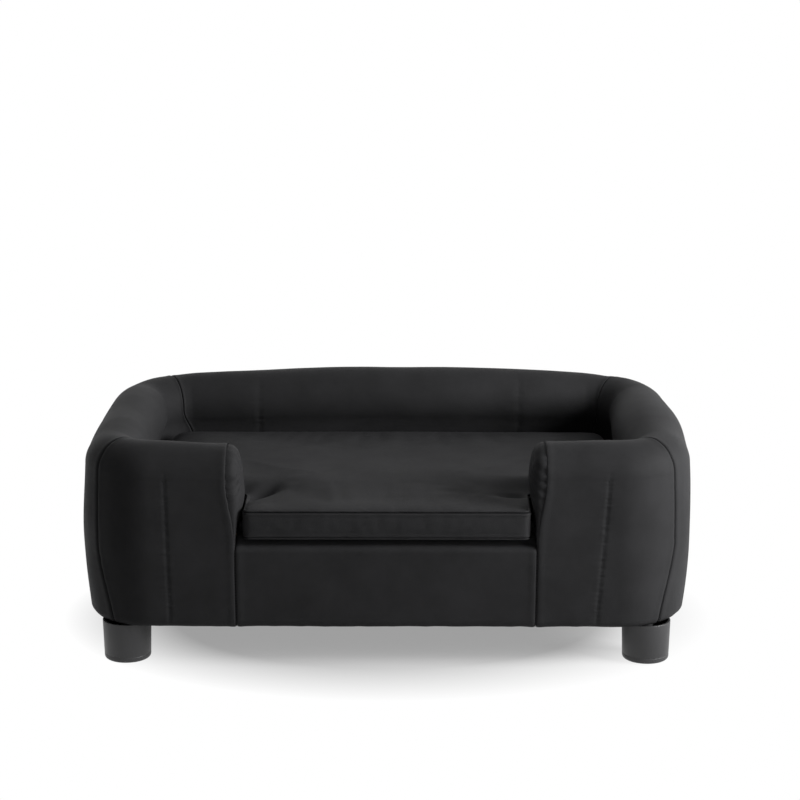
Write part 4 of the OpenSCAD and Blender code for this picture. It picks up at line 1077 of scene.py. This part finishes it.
places = np.concatenate([joined(x, TAPE_FACE + 0.1, ZIP_Z + h) for h in (-6.2, 6.2)])
thread("zip_stitches", places, (1, 0, 0), (0, 1, 0), 2.5, 0.3, "cushion")
stops = joined(np.array([-1, 1]) * (ZIP_HALF - 1.5), TAPE_FACE + 1.0, ZIP_Z)
thread("zip_stops", stops, (0, 0, 1), (0, 1, 0), 6.4, 1.1, "cushion", ZIP_METAL, "zip_metal")

# the slider: a channel over the coil, wider at its head, with an arched bridge
half = np.array([[3.8, 180.2], [4.3, 179.95], [4.5, 179.4], [4.5, 177.75], [2.85, 177.75], [2.85, 179.25]])
section = np.concatenate([half[3::-1] * [-1, 1], half, half[:3:-1] * [-1, 1]])
loops = []
for at in (-6, -5.8, -5.2, -3, 0, 3, 5.2, 5.8, 6):
    end = max(0, abs(at) - 5) * 0.5
    wide = 1 - 0.1 * ease((at + 1) / 5) - 0.05 * end
    half = np.where(np.abs(section[:, 0]) > 3, section[:, 0] * wide, section[:, 0])
    high = np.where(section[:, 1] > 179.3, section[:, 1] - end * 0.4, section[:, 1])
    loops.append(joined(ZIP_X + at, high, ZIP_Z + half))
a = np.linspace(math.pi, 0, 15)
bridge = joined(3.35 * np.cos(a), 180.1 + 2.45 * np.sin(a) ** 0.55)
bridge[[0, -1], 1] = 179.9
way = units(np.gradient(bridge, axis=0))
rim = ((-0.42, -0.8), (0.2, -1.0), (0.42, -0.7), (0.42, 0.7), (0.2, 1.0), (-0.42, 0.8))
band = np.array([[[ZIP_X + p[0] - w[1] * o, p[1] + w[0] * o, ZIP_Z + h] for o, h in rim]
                 for p, w in zip(bridge, way)])
faces = tube_faces(len(loops), 12) + tube_faces(len(band), 6, len(loops) * 12)
slider = object_from("slider", np.concatenate([*loops, *band]), faces, False)
dress(slider, "slider", ZIP_METAL, ("zip_slider",))


def oval(middle, long, high, power):
    """Outline between an ellipse and a rectangle."""
    a = np.linspace(0, 2 * math.pi, 49)[:-1]
    c, s = np.cos(a), np.sin(a)
    return joined(middle + long * np.sign(c) * np.abs(c) ** power, high * np.sign(s) * np.abs(s) ** power)


# the pull: a flat tab with a window for the bridge and a waist before its rounded grip
outer, window = oval(8.2, 8.8, 3.0, 0.6), oval(2.7, 2.55, 1.65, 0.5)
outer[:, 1] *= 1 - 0.22 * bell(outer[:, 0] - 8.5, 2.6)
layers = [(window, 0.35, 0.0), (window, 0.6, 0.18), (outer, 0.6, -0.25), (outer, 0.3, 0.0),
          (outer, -0.3, 0.0), (outer, -0.6, -0.25), (window, -0.6, 0.18), (window, -0.35, 0.0)]
rows = []
for shape, high, grow in layers:
    at = shape + units(shape - shape.mean(0)) * grow
    rows.append(joined(ZIP_X + at[:, 0], PIN + high, ZIP_Z + at[:, 1]))
faces = [[f % (len(layers) * 48) for f in face] for face in grid_faces(len(layers) + 1, 48, True)]
pull = object_from("pull", np.concatenate(rows), faces, False)
dress(pull, "pull", ZIP_METAL, ("zip_pull",), 0, (ZIP_X, PIN - 40, ZIP_Z))

# ---------------------------------------------------------------- legs


def lathe(name, outline, x, y):
    a = np.linspace(0, 2 * math.pi, 96, endpoint=False)
    r, z = np.array(outline, float).T
    points = joined(x + np.outer(r, np.cos(a)), y + np.outer(r, np.sin(a)), z[:, None])
    return grid_piece(name, points, True)


# outlines as radius and height: the leg from its sole up the outside, and down and up again within
LEG_OUTLINE = np.concatenate([
    [[0.01, 2.6], [28.0, 2.6], [28.0, 1.4], [28.4, 1.0], [30.2, 1.0]], arc(31.2, 6, 5, -90, 0, 8),
    [[36.28, 9], [36.3, 9.3], [36.0, 9.7], [36.0, 10.3], [36.3, 10.7], [37.74, 61.0]],
    arc(37.0, 63.2, 0.78, 0, 90, 4),
    [[33.9, 63.95], [33.4, 63.4], [32.2, 8.6], [31.4, 8.0], [12.2, 8.0],
     [11.2, 8.8], [11.0, 63.8], [4.2, 63.8], [4.1, 23.2], [0.01, 23.0]]])
GLIDE_OUTLINE = [[0.01, 0.0], [26.6, 0.0], [27.4, 0.25], [27.7, 0.8], [27.7, 2.3], [0.01, 2.3]]
for place, foot in FEET.items():
    dress(lathe(f"leg_{place}", LEG_OUTLINE, *foot), "sofa", LEG, (f"leg_{place}",))
for place, foot in FEET.items():
    dress(lathe(f"glide_{place}", GLIDE_OUTLINE, *foot), "sofa", GLIDE, ("leg_glides",))

# ---------------------------------------------------------------- carried-over solids and their finish

FINISH = {"base_board": PLY_X, "deck_board": PLY_X, "front_panel": PLY_X, "back_panel": PLY_X,
          "side_panel": PLY_X, "corner_panel": PLY_EDGE, "corner_posts": PINE_Z, "deck_rail_": PINE_X,
          "deck_rails_side": PINE_Y, "centre_bearer": PINE_Y, "deck_screws": STEEL, "leg_bolts": STEEL,
          "tee_nuts": STEEL}
for name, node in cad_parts.items():
    for start, material in FINISH.items():
        if name.startswith(start):
            node.data.materials.clear()
            node.data.materials.append(material)

# ---------------------------------------------------------------- stage


def floor_material():
    """Pale floor that keeps the shadow and fades to white away from the object."""
    n = Nodes("floor")
    grain = n.noise(120, 3)
    n.finish(n.colour(grain, (0.5, 0.5, 0.5), (0.53, 0.53, 0.53)), n.ramp(grain, 0, 1, 0.75, 0.85),
             Specular_IOR_Level=0.1)
    glow = n.add("ShaderNodeEmission", 0, Color=(1, 1, 1, 1))
    spot = n.add("ShaderNodeVectorMath", "Value", n.stretched(1.12, 1.45, 1.0), operation="LENGTH")
    share = n.maths("MULTIPLY", n.ramp(spot, 0.4, 0.6, 0.34, 1), seen_rays(n.tree))
    blend = n.add("ShaderNodeMixShader", 0, share, n.shader.outputs[0], glow)
    fill(n.tree, n.tree.nodes["Material Output"], {"Surface": blend})
    return n.material


FLOOR_HALF = 9000
corners = [(x * FLOOR_HALF, y * FLOOR_HALF, 0) for x, y in ((-1, -1), (1, -1), (1, 1), (-1, 1))]
floor = object_from("floor", corners, [(0, 1, 2, 3)], False)
floor.data.materials.append(floor_material())

world = bpy.data.worlds.new("studio")
bpy.context.scene.world = world
world.use_nodes = True
tree = world.node_tree
strength = add_node(tree, "ShaderNodeMapRange", "Result", Value=seen_rays(tree), To_Min=0.04, To_Max=1.0)
fill(tree, tree.nodes["Background"], {"Color": (1, 1, 1, 1), "Strength": strength})


def softbox(name, place, target, size, power):
    lamp = bpy.data.lights.new(name, "AREA")
    lamp.shape = "RECTANGLE"
    lamp.size, lamp.size_y = size
    lamp.energy = power
    holder = bpy.data.objects.new(name, lamp)
    bpy.context.scene.collection.objects.link(holder)
    holder.location = place
    holder.rotation_euler = (Vector(target) - Vector(place)).to_track_quat("-Z", "Y").to_euler()


softbox("key", (0.25, 0.05, 2.6), (0.05, 0, 0.2), (1.8, 1.7), 7)
softbox("right", (2.2, -0.85, 1.1), (0.1, 0, 0.2), (1.0, 1.0), 110)
softbox("rim", (0, 2.2, 1.6), (0, 0, 0.3), (3.0, 1.4), 1)
softbox("front", (1.2, -3.2, 1.3), (0.1, 0, 0.2), (2.0, 1.0), 4.5)

camera = bpy.data.objects.new("camera", bpy.data.cameras.new("camera"))
bpy.context.scene.collection.objects.link(camera)
# Fitted to the outline in the photograph: tilt and pan in degrees, and focal length in pixels
TILT, PAN, FOCAL, PICTURE_WIDTH, SENSOR = 13.17, 0.342, 2163.2, 800, 36
camera.location = (0.0404, -3.4329, 1.1648)
camera.rotation_euler = (math.radians(90 - TILT), 0, math.radians(PAN))
camera.data.sensor_width = SENSOR
camera.data.lens = SENSOR * FOCAL / PICTURE_WIDTH
camera.data.clip_end = 60
bpy.context.scene.camera = camera
bpy.context.scene.view_settings.view_transform = "Standard"
